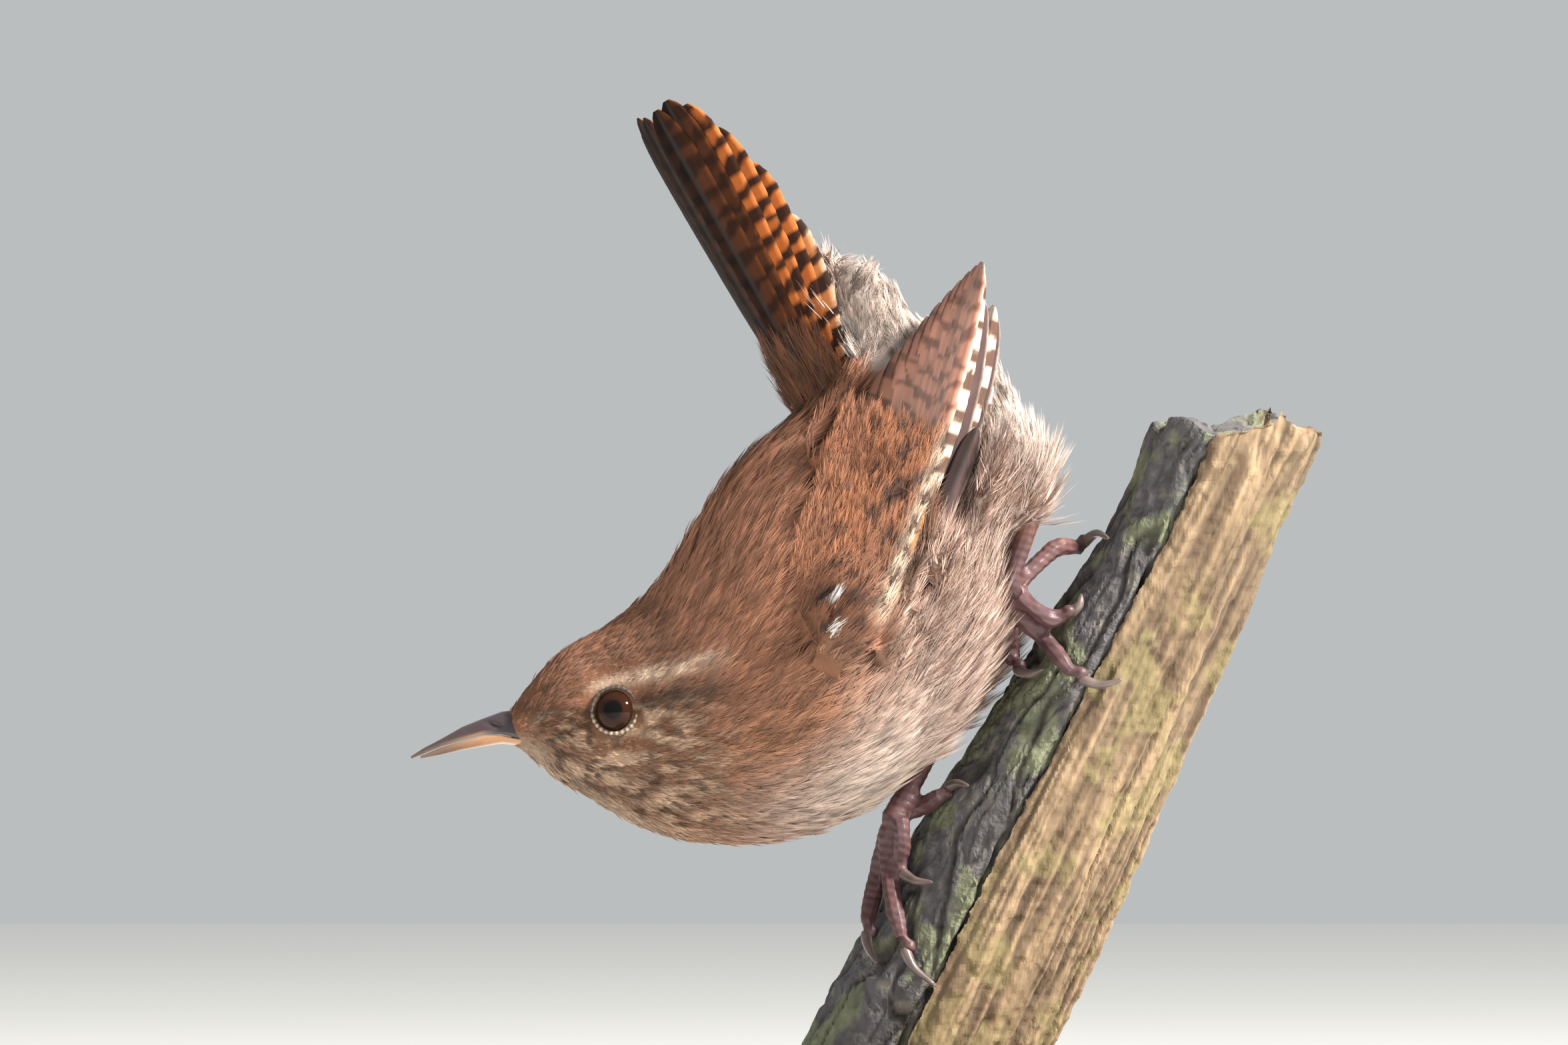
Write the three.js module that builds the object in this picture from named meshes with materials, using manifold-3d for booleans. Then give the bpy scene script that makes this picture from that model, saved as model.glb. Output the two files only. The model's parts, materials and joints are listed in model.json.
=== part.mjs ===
// Eurasian wren, life size, clinging to the broken end of a branch that stands on a round base.
// Millimetres, +Z up. The head points to -X, the left side of the bird faces -Y.
import * as THREE from 'three';
import { mergeVertices } from 'three/addons/utils/BufferGeometryUtils.js';
import Module from 'manifold-3d';

const wasm = await Module();
wasm.setup();

// Driving dimensions
const gap = 0.3;
const tidy = 0.06;
const vaneThick = 0.6;
const bodySides = 22;
const bodyRings = 34;
const headEnds = 0.34;
const neckEnds = 0.46;
const eyeRadius = 2.15;
const lidRing = 2.35;
const lidThick = 0.28;
const wingReach = 40;
const tailLength = 32.4;
const tailRoll = THREE.MathUtils.degToRad(37);
const tailArch = 0.04;
const baseRadius = 38;
const baseHeight = 8;
const perchFoot = 16;
const perchTop = 84;
const rodRadius = 1.5;
const woodDepth = 2.4;

const group = new THREE.Group();
group.name = 'wren';

const v = (x, y, z) => new THREE.Vector3(x, y, z);
const lerp = THREE.MathUtils.lerp;

// One closed skin through equal rings of points, ends closed by a fan round their middle.
function loft(rings) {
  const count = rings[0].length;
  const points = rings.flat();
  const faces = [];
  for (let i = 0; i + 1 < rings.length; i += 1) {
    for (let j = 0; j < count; j += 1) {
      const a = i * count + j;
      const b = i * count + ((j + 1) % count);
      faces.push(a, b, a + count, b, b + count, a + count);
    }
  }
  const close = (first, ring, flip) => {
    const middle = ring.reduce((sum, p) => sum.add(p), v(0, 0, 0)).divideScalar(count);
    const centre = points.push(middle) - 1;
    for (let j = 0; j < count; j += 1) {
      const a = first + j;
      const b = first + ((j + 1) % count);
      faces.push(...(flip ? [centre, b, a] : [centre, a, b]));
    }
  };
  close(0, rings[0], true);
  close((rings.length - 1) * count, rings[rings.length - 1], false);
  let volume = 0;
  for (let i = 0; i < faces.length; i += 3) {
    volume += points[faces[i]].dot(points[faces[i + 1]].clone().cross(points[faces[i + 2]]));
  }
  if (volume < 0) faces.reverse();
  const geometry = new THREE.BufferGeometry();
  geometry.setAttribute('position', new THREE.Float32BufferAttribute(points.flatMap((p) => p.toArray()), 3));
  geometry.setIndex(faces);
  return geometry;
}

function solid(geometry) {
  const plain = geometry.clone();
  plain.deleteAttribute('normal');
  plain.deleteAttribute('uv');
  const merged = mergeVertices(plain, 1e-4);
  return new wasm.Manifold(new wasm.Mesh({
    numProp: 3,
    vertProperties: new Float32Array(merged.attributes.position.array),
    triVerts: new Uint32Array(merged.index.array),
  }));
}

// The same shape on the other side of the bird's middle plane.
function mirrored(shape) {
  const mesh = shape.getMesh();
  const places = Float32Array.from(mesh.vertProperties, (value, i) => (i % 3 === 1 ? -value : value));
  return new wasm.Manifold(new wasm.Mesh({
    numProp: 3, vertProperties: places, triVerts: Uint32Array.from(mesh.triVerts).reverse(),
  }));
}

function join(parts) {
  return parts.reduce((sum, part) => sum.add(part));
}

function node(name, shape, color, roughness = 0.8, metalness = 0) {
  const bodies = shape.simplify(tidy).decompose().sort((a, b) => b.volume() - a.volume());
  const mesh = bodies[0].getMesh();
  const geometry = new THREE.BufferGeometry();
  geometry.setAttribute('position', new THREE.Float32BufferAttribute(mesh.vertProperties, 3));
  geometry.setIndex(Array.from(mesh.triVerts));
  geometry.computeVertexNormals();
  const material = new THREE.MeshStandardMaterial({ color, roughness, metalness, flatShading: true });
  const object = new THREE.Mesh(geometry, material);
  object.name = name;
  group.add(object);
}

// A tapering limb: points along its middle, the same number of radii, sides round it.
function limb(path, radii, sides, steps, extra = 0, flat = 1) {
  const curve = new THREE.CatmullRomCurve3(path, false, 'centripetal');
  const rings = [];
  let normal = v(0.31, -0.9, 0.22);
  for (let i = 0; i <= steps; i += 1) {
    const u = i / steps;
    const centre = curve.getPoint(u);
    const tangent = curve.getTangent(u);
    normal = normal.clone().addScaledVector(tangent, -normal.dot(tangent)).normalize();
    const across = tangent.clone().cross(normal);
    const at = u * (radii.length - 1);
    const low = Math.min(Math.floor(at), radii.length - 2);
    const radius = lerp(radii[low], radii[low + 1], at - low) + extra;
    const ring = [];
    for (let j = 0; j < sides; j += 1) {
      const angle = (2 * Math.PI * j) / sides;
      ring.push(centre.clone()
        .addScaledVector(normal, Math.cos(angle) * radius * flat)
        .addScaledVector(across, Math.sin(angle) * radius));
    }
    rings.push(ring);
  }
  if (extra > 0) {
    const first = curve.getTangent(0).multiplyScalar(-extra);
    const last = curve.getTangent(1).multiplyScalar(extra);
    rings[0].forEach((p) => p.add(first));
    rings[steps].forEach((p) => p.add(last));
  }
  return solid(loft(rings));
}

// Body: stations from the face to the vent, each a back point, a belly point and a half width.
const stations = [
  { back: [-43.6, 55.5], belly: [-43.4, 52.1], half: 1.8 },
  { back: [-42.3, 57.3], belly: [-41.5, 50.6], half: 3.1 },
  { back: [-40.0, 60.1], belly: [-38.6, 48.2], half: 5.1 },
  { back: [-37.6, 62.2], belly: [-35.0, 46.2], half: 6.7 },
  { back: [-34.3, 64.0], belly: [-31.0, 43.8], half: 7.6 },
  { back: [-31.0, 66.6], belly: [-25.5, 41.9], half: 9.0 },
  { back: [-28.4, 69.5], belly: [-19.0, 41.5], half: 11.2 },
  { back: [-26.2, 73.4], belly: [-12.0, 42.5], half: 13.2 },
  { back: [-23.3, 77.9], belly: [-6.7, 45.1], half: 14.3 },
  { back: [-20.0, 81.7], belly: [-1.0, 49.7], half: 14.8 },
  { back: [-16.8, 84.3], belly: [3.6, 56.4], half: 14.6 },
  { back: [-14.6, 86.2], belly: [6.4, 62.6], half: 13.7 },
  { back: [-13.0, 88.2], belly: [7.4, 70.0], half: 12.4 },
  { back: [-11.6, 90.2], belly: [11.6, 78.0], half: 10.4 },
  { back: [-10.2, 92.0], belly: [8.8, 85.8], half: 7.8 },
  { back: [-9.2, 93.6], belly: [5.2, 91.0], half: 5.4 },
  { back: [-8.0, 95.0], belly: [0.0, 94.4], half: 3.0 },
];
const backLine = new THREE.CatmullRomCurve3(stations.map((s) => v(s.back[0], 0, s.back[1])), false, 'centripetal');
const bellyLine = new THREE.CatmullRomCurve3(stations.map((s) => v(s.belly[0], 0, s.belly[1])), false, 'centripetal');
const widthLine = new THREE.CatmullRomCurve3(stations.map((s, i) => v(i, s.half, 0)), false, 'centripetal');

function bodyRing(u) {
  const back = backLine.getPoint(u);
  const belly = bellyLine.getPoint(u);
  const half = widthLine.getPoint(u).y;
  const ring = [];
  for (let j = 0; j < bodySides; j += 1) {
    const angle = (2 * Math.PI * j) / bodySides;
    const rise = 0.5 + 0.5 * Math.cos(angle);
    const point = belly.clone().lerp(back, rise);
    point.y = -half * Math.sin(angle) * (1 - 0.05 * Math.cos(angle));
    ring.push(point);
  }
  return ring;
}

function bodyPart(from, to) {
  const steps = Math.max(4, Math.round((to - from) * bodyRings));
  const rings = [];
  for (let i = 0; i <= steps; i += 1) rings.push(bodyRing(lerp(from, to, i / steps)));
  return solid(loft(rings));
}

const seam = 0.0025;
let head = bodyPart(0, headEnds - seam);
const neck = bodyPart(headEnds + seam, neckEnds - seam);
let torso = bodyPart(neckEnds + seam, 1);

// Eyes, each a ball in a round socket with a ring of lid in front of it.
for (const side of [-1, 1]) {
  const word = side < 0 ? 'left' : 'right';
  const centre = v(-32.3, side * 5.7, 55.4);
  const outward = v(-0.2, side, 0.12).normalize();
  const ball = (radius, across, up) => solid(new THREE.SphereGeometry(radius, across, up)
    .translate(centre.x, centre.y, centre.z));
  head = head.subtract(ball(lidRing + lidThick + 2 * gap, 20, 12));
  node(`eye_${word}`, ball(eyeRadius, 16, 10), '#1d120c', 0.12);
  const lids = new THREE.TorusGeometry(lidRing, lidThick, 6, 20);
  lids.applyQuaternion(new THREE.Quaternion().setFromUnitVectors(v(0, 0, 1), outward));
  const seat = centre.clone().addScaledVector(outward, 1.2);
  lids.translate(seat.x, seat.y, seat.z);
  node(`lids_${word}`, solid(lids), '#a89a86', 0.7);
}

// Bill: upper and lower halves with the mouth line left open between them.
const billStations = [
  { x: -43.9, top: 55.35, mouth: 53.05, low: 52.15, half: 1.75 },
  { x: -45.8, top: 54.65, mouth: 52.95, low: 51.85, half: 1.4 },
  { x: -47.8, top: 53.85, mouth: 52.5, low: 51.5, half: 1.1 },
  { x: -50.0, top: 52.6, mouth: 51.85, low: 51.05, half: 0.75 },
  { x: -51.7, top: 51.7, mouth: 51.15, low: 50.75, half: 0.42 },
  { x: -52.9, top: 50.95, mouth: 50.6, low: 50.4, half: 0.12 },
];
function billHalf(upper) {
  const last = upper ? billStations.length : billStations.length - 1;
  const rings = billStations.slice(0, last).map((s) => {
    const ring = [];
    for (let j = 0; j <= 6; j += 1) {
      const angle = (Math.PI * j) / 6;
      const edge = upper ? s.mouth + gap / 2 : s.mouth - gap / 2;
      const far = upper ? s.top : s.low;
      ring.push(v(s.x, -s.half * Math.cos(angle), lerp(edge, far, Math.sin(angle) ** 0.8)));
    }
    return ring;
  });
  return solid(loft(rings));
}
let billUpper = billHalf(true);
for (const side of [-1, 1]) {
  const slit = new THREE.SphereGeometry(1, 10, 6);
  slit.scale(0.8, 0.5, 0.24);
  slit.rotateY(0.34);
  slit.translate(-45.2, side * 1.45, 53.95);
  billUpper = billUpper.subtract(solid(slit));
}
node('bill_upper', billUpper, '#4a3f3c', 0.35);
node('bill_lower', billHalf(false), '#a87447', 0.4);

// A feather vane laid on a surface: from root to tip along s, t across it, h above it.
function vane(surface, f) {
  const steps = f.steps ?? 5;
  const rings = [];
  for (let i = 0; i <= steps; i += 1) {
    const u = i / steps;
    const s = lerp(f.root[0], f.tip[0], u);
    const t = lerp(f.root[1], f.tip[1], u) + (f.bow ?? 0) * Math.sin(Math.PI * u);
    const h = lerp(f.rise[0], f.rise[1], u);
    const swell = lerp(f.rootWidth ?? 0.5, 1, Math.min(1, u * 2));
    const roundOff = u < 0.8 ? 1 : Math.sqrt(Math.max(0.09, 1 - ((u - 0.8) / 0.2) ** 2));
    const half = 0.5 * f.width * swell * roundOff;
    const thick = 0.5 * (f.thick ?? vaneThick) * (u > 0.95 ? 0.7 : 1);
    const ring = [];
    for (const [across, up] of [[-1, -0.8], [-1, 0.8], [0, 1.3], [1, 0.8], [1, -0.8], [0, -0.4]]) {
      ring.push(surface(s, t + across * half, h + up * thick + (f.tilt ?? 0) * across));
    }
    rings.push(ring);
  }
  return solid(loft(rings));
}

// Wings: a curved plate on each flank; s runs to the wing tip, t toward the lower edge.
const wingRoot = [-8, 64];
const wingAxis = [0.324, 0.946];
function wingSurface(side) {
  return (s, t, h) => {
    const x = wingRoot[0] + wingAxis[0] * s + wingAxis[1] * t;
    const z = wingRoot[1] + wingAxis[1] * s - wingAxis[0] * t;
    const out = lerp(12.0, 4.8, THREE.MathUtils.smoothstep(s, -8, wingReach + 8)) - 0.03 * (t + 2) ** 2;
    return v(x, side * (out + h), z);
  };
}

function wingPocket(surface) {
  const rings = [];
  for (let i = 0; i <= 8; i += 1) {
    const u = i / 8;
    const s = lerp(-6, wingReach + 1, u);
    const low = lerp(-6.5, -11, Math.min(1, u * 2));
    const high = lerp(4, 7, Math.min(1, u * 3));
    const ring = [];
    for (let j = 0; j <= 6; j += 1) ring.push(surface(s, lerp(low, high, j / 6), -0.45));
    for (let j = 6; j >= 0; j -= 1) ring.push(surface(s, lerp(low, high, j / 6), 12));
    rings.push(ring);
  }
  return solid(loft(rings));
}

const primaries = [];
for (let i = 0; i < 7; i += 1) {
  primaries.push({
    root: [7 - i * 0.4, 1.2 + i * 0.25], tip: [35.5 - 0.35 * i * (i + 1) * 0.8, 1.9 + i * 0.45],
    rise: [0.3, 0.5 - i * 0.03], width: 3.4, tilt: -0.15, bow: 1.1,
  });
}
const secondaries = [
  { root: [7, -5.5], tip: [26, -7.2] },
  { root: [6.5, -4.6], tip: [30.5, -5.4] },
  { root: [6, -3.7], tip: [34, -3.7] },
  { root: [6, -2.8], tip: [36.6, -2.2] },
  { root: [6, -1.8], tip: [38.3, -1.0] },
  { root: [6, -0.8], tip: [38.6, 0.1] },
  { root: [6, 0.3], tip: [37.4, 1.0] },
].map((f, i) => ({
  ...f, rise: [2.2 - i * 0.07, 1.85 - i * 0.07], width: i < 3 ? 5.2 : 3.6, tilt: -0.16, bow: i < 3 ? 0 : 0.7,
}));
const coverts = [];
for (let i = 0; i < 8; i += 1) {
  const t = -8.4 + i * 1.6;
  coverts.push({
    root: [2 - 0.2 * i, t * 0.6 - 0.4], tip: [16 - 0.35 * i, t], rise: [3.1, 3.15 - i * 0.03],
    width: 3.7, tilt: -0.12, steps: 4,
  });
}
for (let i = 0; i < 5; i += 1) {
  const t = -6.4 + i * 2.1;
  coverts.push({
    root: [-4 + 0.15 * i, t * 0.35 - 0.3], tip: [7.6 - 0.5 * i, t], rise: [3.3, 3.65],
    width: 4, tilt: -0.1, steps: 4, thick: 0.8,
  });
}

const leftWing = wingSurface(-1);
const pockets = { left: wingPocket(leftWing) };
pockets.right = mirrored(pockets.left);
torso = torso.subtract(pockets.left).subtract(pockets.right);
const rows = { primaries, secondaries, coverts };
const shades = { primaries: '#8a6f52', secondaries: '#8d5f3c', coverts: '#97643b' };
for (const [row, feathers] of Object.entries(rows)) {
  const fan = join(feathers.map((f) => vane(leftWing, f))).simplify(tidy);
  node(`wing_left_${row}`, fan, shades[row], 0.7);
  node(`wing_right_${row}`, mirrored(fan), shades[row], 0.7);
}

// Tail: twelve rectrices, the middle pair on top, roofed and rolled toward the left side.
const tailBase = v(-12.6, 0, 87.2);
const tailAxis = v(-0.497, 0, 0.868);
const dorsal = v(-0.868, 0, -0.497);
const lateral = v(0, -1, 0).multiplyScalar(Math.cos(tailRoll)).addScaledVector(dorsal, -Math.sin(tailRoll));
const tailUp = dorsal.clone().multiplyScalar(Math.cos(tailRoll)).addScaledVector(v(0, -1, 0), Math.sin(tailRoll));
function tailSurface(s, t, h) {
  return tailBase.clone().addScaledVector(tailAxis, s).addScaledVector(lateral, t)
    .addScaledVector(tailUp, h - tailArch * t * t);
}
const tipReach = [1, 1.01, 0.97, 0.87, 0.73, 0.54];
const tipSpread = [1.2, 2.8, 4.2, 5.2, 6.0, 6.2];
const rectrices = [];
for (const side of [-1, 1]) {
  for (let i = 0; i < 6; i += 1) {
    rectrices.push({
      root: [-3, side * (0.5 + 0.4 * i)], tip: [tailLength * tipReach[i], side * tipSpread[i]],
      rise: [0.6 - 0.2 * i, 0.6 - 0.24 * i + (side > 0 ? 0.08 : 0)], width: 4.3,
      rootWidth: 0.7, tilt: -0.1 * side, bow: side * (0.3 + 0.14 * i),
    });
  }
}
const rump = torso.add(torso.translate(-0.2, 0, 0.35));
// Undertail coverts: three soft lobes fused under the tail root.
const undertail = [-1, 0, 1].map((i) => limb(
  [v(-3.5, 1.2 * i, 91.5), v(-6.9, 1.9 * i, 95.6), v(-9.9 - 0.4 * i, 2.2 * i, 98.6), v(-12.2 - 0.4 * i, 2.0 * i, 101)],
  [3.4, 3.8, 2.6, 0.8], 10, 8,
));
const tailShape = join(rectrices.map((f) => vane(tailSurface, f))).subtract(rump);
const undertailShape = join(undertail).subtract(rump).subtract(tailShape)
  .subtract(tailShape.translate(0.3, 0, 0.1));

// Perch: centre line and half widths of the branch at rising heights.
const perchLevels = [
  { z: 16, x: -3.9, y: 12.6, across: 13.2, deep: 11.6 },
  { z: 22, x: -1.0, y: 11.9, across: 12.9, deep: 11.4 },
  { z: 34, x: 5.1, y: 9.9, across: 12.4, deep: 11.1 },
  { z: 45, x: 10.2, y: 8.0, across: 12.0, deep: 10.6 },
  { z: 60, x: 18.4, y: 5.2, across: 10.4, deep: 9.1 },
  { z: 75, x: 26.3, y: 2.6, across: 8.8, deep: 7.9 },
  { z: 84, x: 29.9, y: 1.2, across: 8.9, deep: 7.6 },
];
function perchAt(z) {
  let k = 0;
  while (k < perchLevels.length - 2 && z > perchLevels[k + 1].z) k += 1;
  const a = perchLevels[k];
  const b = perchLevels[k + 1];
  const u = (z - a.z) / (b.z - a.z);
  const mix = (key) => lerp(a[key], b[key], u);
  return { x: mix('x'), y: mix('y'), across: mix('across'), deep: mix('deep') };
}
function perchPoint(z, angle, share = 1) {
  const c = perchAt(z);
  return v(c.x + c.across * share * Math.cos(angle), c.y + c.deep * share * Math.sin(angle), z);
}
const perchSteps = 13;
// Height of the broken top above or below perchTop, from left to right across the branch.
const brokenTop = [
  [21, 0.2], [25.4, 0.9], [26.6, -0.6], [29.7, -0.1], [31.1, 1.6], [33, 2.9], [34.4, 1.5], [36, -1.3],
  [37.6, -0.4], [39.5, -1.1],
];
function jag(x, y) {
  let k = 0;
  while (k < brokenTop.length - 2 && x > brokenTop[k + 1][0]) k += 1;
  const [a, b] = [brokenTop[k], brokenTop[k + 1]];
  const share = THREE.MathUtils.clamp((x - a[0]) / (b[0] - a[0]), 0, 1);
  return lerp(a[1], b[1], share) + 0.5 * Math.sin(1.3 * y);
}
// The split runs on a chord between the nearest and the rightmost point of the section.
function chordAngles(share) {
  const half = Math.acos(share);
  return [-Math.PI / 4 - half, -Math.PI / 4 + half];
}
function perchRings(outline) {
  const rings = [];
  for (let i = 0; i <= perchSteps; i += 1) {
    const z = lerp(perchFoot, perchTop, i / perchSteps);
    const ring = outline(z);
    if (i === perchSteps) {
      ring.forEach((p) => p.setZ(p.z + jag(p.x, p.y)));
    }
    rings.push(ring);
  }
  return rings;
}
const faceShare = Math.SQRT1_2;
function rimShare(z, inward) {
  return faceShare - inward / perchAt(z).across;
}
const bark = solid(loft(perchRings((z) => {
  const [from, to] = chordAngles(rimShare(z, woodDepth + gap));
  const ring = [];
  for (let j = 0; j <= 20; j += 1) {
    const angle = from - (2 * Math.PI - (to - from)) * (j / 20);
    const ridge = j > 0 && j < 20 ? 1 + 0.018 * Math.sin(9 * angle + 0.16 * z) : 1;
    ring.push(perchPoint(z, angle, ridge));
  }
  return ring;
})));
const wood = solid(loft(perchRings((z) => {
  const [a, b] = chordAngles(rimShare(z, woodDepth));
  const [c, d] = chordAngles(faceShare);
  const ring = [perchPoint(z, a)];
  for (let j = 0; j <= 8; j += 1) {
    const u = j / 8;
    const p = perchPoint(z, c).lerp(perchPoint(z, d), u);
    const swell = Math.sin(Math.PI * u) * (1.1 + 0.25 * Math.sin(14 * u + 0.21 * z));
    ring.push(p.add(v(0.7 * swell, -0.7 * swell, 0)));
  }
  ring.push(perchPoint(z, b));
  return ring;
})));
node('perch_bark', bark, '#4b4840', 0.9);
node('perch_wood', wood, '#a58a63', 0.85);

// Depth, on the bird's left side, of a limb's middle that stays a given reach off the bark.
function barkFront(x, z, reach) {
  const c = perchAt(z);
  const u = THREE.MathUtils.clamp((x - c.x) / (c.across + reach), -1, 0.2);
  return c.y - (c.deep + reach) * Math.sqrt(1 - u * u);
}

// Feet: toes as side-view points of their middle line, with the depth where a toe is off the bark.
const toeThick = 0.9;
const tarsusRadii = [1.0, 0.88, 0.92, 1.15, 1.2];
const feet = {
  left: {
    thigh: { path: [[4.8, -5.6, 82], [7.4, -6, 79.5], [9.2, -6.3, 75.6]], radii: [2.7, 3.1, 1.9] },
    tarsus: [[9.1, -6.3, 74.9], [7.9, -5.6, 71.6], [7.0, -4.6, 68.9], [7.0, -3.5, 67.2]],
    toes: {
      hallux: { path: [[8.1, -3.5, 68.6], [9.8, -2.4, 70.3], [11.6, -1.2, 71.8], [13.9, null, 71.6]],
        claw: [[14.4, null, 72.3], [15.5, null, 73.2], [16.7, null, 72.7]] },
      outer: { path: [[7.6, -4.6, 67.2], [9.0, -3.6, 65.9], [10.8, -2.2, 64.7], [12.4, null, 65.0]],
        claw: [[13.1, null, 65.3], [13.9, null, 66.1], [14.0, null, 67.3]] },
      middle: { path: [[6.8, -3.2, 66.6], [8.0, -1.6, 64.7], [10.2, 0.1, 62.7], [11.6, null, 61.1],
        [13.0, null, 59.3]], claw: [[13.8, null, 58.7], [15.9, null, 58.0], [18.0, null, 58.6]] },
      inner: { path: [[6.7, -1.2, 65.4], [6.9, 1.2, 63.4], [7.0, 3.0, 61.4], [7.2, 4.0, 60.2]],
        claw: [[7.6, 4.4, 59.5], [8.9, 3.4, 59.1], [10.2, null, 59.6]] },
    },
  },
  right: {
    thigh: { path: [[5.5, 6.5, 64], [3.5, 6.4, 59.5], [1.2, 6.0, 54.6]], radii: [3.2, 3.3, 1.9] },
    tarsus: [[0.6, 5.8, 53.9], [-1.6, 5.0, 50.2], [-3.4, 4.2, 47.0], [-4.4, 3.9, 45.2]],
    toes: {
      hallux: { path: [[-2.9, 3.6, 45.4], [-1.6, null, 45.9], [0.0, null, 47.0]],
        claw: [[0.6, null, 47.7], [1.7, null, 48.2], [2.8, null, 47.9]] },
      inner: { path: [[-4.1, 2.5, 44.6], [-3.8, 2.3, 42.6], [-4.1, 3.6, 40.1]],
        claw: [[-3.9, 4.1, 39.2], [-2.6, null, 38.4], [-0.8, null, 38.3]] },
      middle: { path: [[-5.0, 3.8, 44.6], [-5.3, 4.3, 41.2], [-5.0, 5.0, 38.0], [-4.5, null, 35.2],
        [-3.9, null, 32.7]], claw: [[-3.6, null, 31.7], [-2.8, null, 29.8], [-0.4, null, 27.9]] },
      outer: { path: [[-5.2, 5.3, 43.8], [-6.0, 6.4, 40.5], [-6.7, 7.4, 37.0], [-7.4, 8.4, 34.2]],
        claw: [[-7.5, 8.9, 33.1], [-7.2, 8.6, 31.6], [-6.4, null, 30.2]] },
    },
  },
};
function onBark(points, reach) {
  return points.map(([x, y, z]) => v(x, Math.min(y ?? Infinity, barkFront(x, z, reach)), z));
}
const barkKeepOff = join([bark, wood]);
for (const [word, foot] of Object.entries(feet)) {
  const thighPath = foot.thigh.path.map((p) => v(...p));
  torso = torso.subtract(limb(thighPath, foot.thigh.radii, 12, 6, gap + 0.1));
  const thigh = limb(thighPath, foot.thigh.radii, 12, 6).subtract(pockets[word]);
  node(`thigh_${word}`, thigh, '#a98c69', 0.9);
  const tarsusPath = foot.tarsus.map((p) => v(...p));
  node(`tarsus_${word}`, limb(tarsusPath, tarsusRadii, 10, 8), '#9c6f5b', 0.5);
  let kept = limb(tarsusPath, tarsusRadii, 10, 8, gap);
  for (const [toe, parts] of Object.entries(foot.toes)) {
    const path = onBark(parts.path, toeThick + gap + 0.15);
    const clawPath = onBark(parts.claw, 0.95);
    const radii = [toeThick, toeThick, 0.8, 0.9, 0.92, 0.6];
    const clawRadii = [0.55, 0.42, 0.25, 0.07];
    node(`toe_${word}_${toe}`, limb(path, radii, 8, 7).subtract(kept).subtract(barkKeepOff), '#a8765f', 0.5);
    kept = kept.add(limb(path, radii, 8, 7, gap));
    node(`claw_${word}_${toe}`, limb(clawPath, clawRadii, 6, 5).subtract(kept).subtract(barkKeepOff), '#5b4a40', 0.3);
    kept = kept.add(limb(clawPath, clawRadii, 6, 5, gap));
  }
  torso = torso.subtract(kept).subtract(barkKeepOff);
}

node('head', head, '#8a6a4a', 0.9);
node('neck', neck, '#9a7c58', 0.9);
node('torso', torso, '#91704c', 0.9);
node('undertail_coverts', undertailShape, '#cbb694', 0.9);
node('tail', tailShape, '#7d5537', 0.75);

// Display stand: a turned round base and two short rods up into the sawn foot of the branch.
const profile = [
  [0, 0], [baseRadius - 0.8, 0], [baseRadius, 0.8], [baseRadius, baseHeight - 2],
  [baseRadius - 0.7, baseHeight - 0.6], [baseRadius - 2.2, baseHeight], [0, baseHeight],
].map(([x, y]) => new THREE.Vector2(x, y));
const base = new THREE.LatheGeometry(profile, 48).rotateX(Math.PI / 2);
node('stand_base', solid(base), '#6b4a30', 0.5);
for (const [i, x] of [-9, 1].entries()) {
  const height = perchFoot - baseHeight - 2 * gap;
  const rod = new THREE.CylinderGeometry(rodRadius, rodRadius, height, 20).rotateX(Math.PI / 2);
  rod.translate(x, 12.6, baseHeight + gap + height / 2);
  node(`stand_rod_${i + 1}`, solid(rod), '#a9a9a6', 0.3, 0.9);
}

export default group;
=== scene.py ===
# %% Open the frame
import json
import math
import bpy
import numpy as np
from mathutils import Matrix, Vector

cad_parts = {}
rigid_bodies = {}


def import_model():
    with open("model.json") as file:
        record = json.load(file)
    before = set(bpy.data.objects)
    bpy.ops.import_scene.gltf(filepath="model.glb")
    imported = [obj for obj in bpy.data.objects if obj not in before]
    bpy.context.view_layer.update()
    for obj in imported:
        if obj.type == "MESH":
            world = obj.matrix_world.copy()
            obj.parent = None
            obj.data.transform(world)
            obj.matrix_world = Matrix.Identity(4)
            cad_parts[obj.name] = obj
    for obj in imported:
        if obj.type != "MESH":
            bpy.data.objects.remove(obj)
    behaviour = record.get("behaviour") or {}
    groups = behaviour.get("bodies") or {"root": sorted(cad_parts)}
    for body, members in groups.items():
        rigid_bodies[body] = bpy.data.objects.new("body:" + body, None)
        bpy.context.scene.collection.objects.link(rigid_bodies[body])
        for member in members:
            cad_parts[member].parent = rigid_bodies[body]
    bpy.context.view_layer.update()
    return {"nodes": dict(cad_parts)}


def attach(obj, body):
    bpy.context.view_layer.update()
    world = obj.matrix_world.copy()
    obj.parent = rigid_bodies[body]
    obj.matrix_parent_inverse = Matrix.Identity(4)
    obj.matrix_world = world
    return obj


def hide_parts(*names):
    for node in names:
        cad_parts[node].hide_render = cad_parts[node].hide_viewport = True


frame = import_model()
MM = 0.001
rng = np.random.default_rng(7)
print("solids in the frame:", len(frame["nodes"]))

# %% [markdown]
# The object is a small brown wren clinging head-down to a broken branch. A smooth body with a feather
# picture would be flat at its outline, so a coat of real barbs is built. Its blotches and bars need soft
# noise, and noise on arrays can also steer shapes.

# %% Noise, ramps and mixing
CELL_MIX = np.array([73856093, 19349663, 83492791])
SEED_MIX = 2654435761
FINAL_MIX = 1274126177
LOW_BITS = 0xFFFFFF


def hashed(cells, seed):
    mixed = cells.astype(np.int64) @ CELL_MIX + seed * SEED_MIX
    mixed = (mixed ^ (mixed >> 13)) * FINAL_MIX
    return ((mixed ^ (mixed >> 16)) & LOW_BITS) / LOW_BITS


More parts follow.
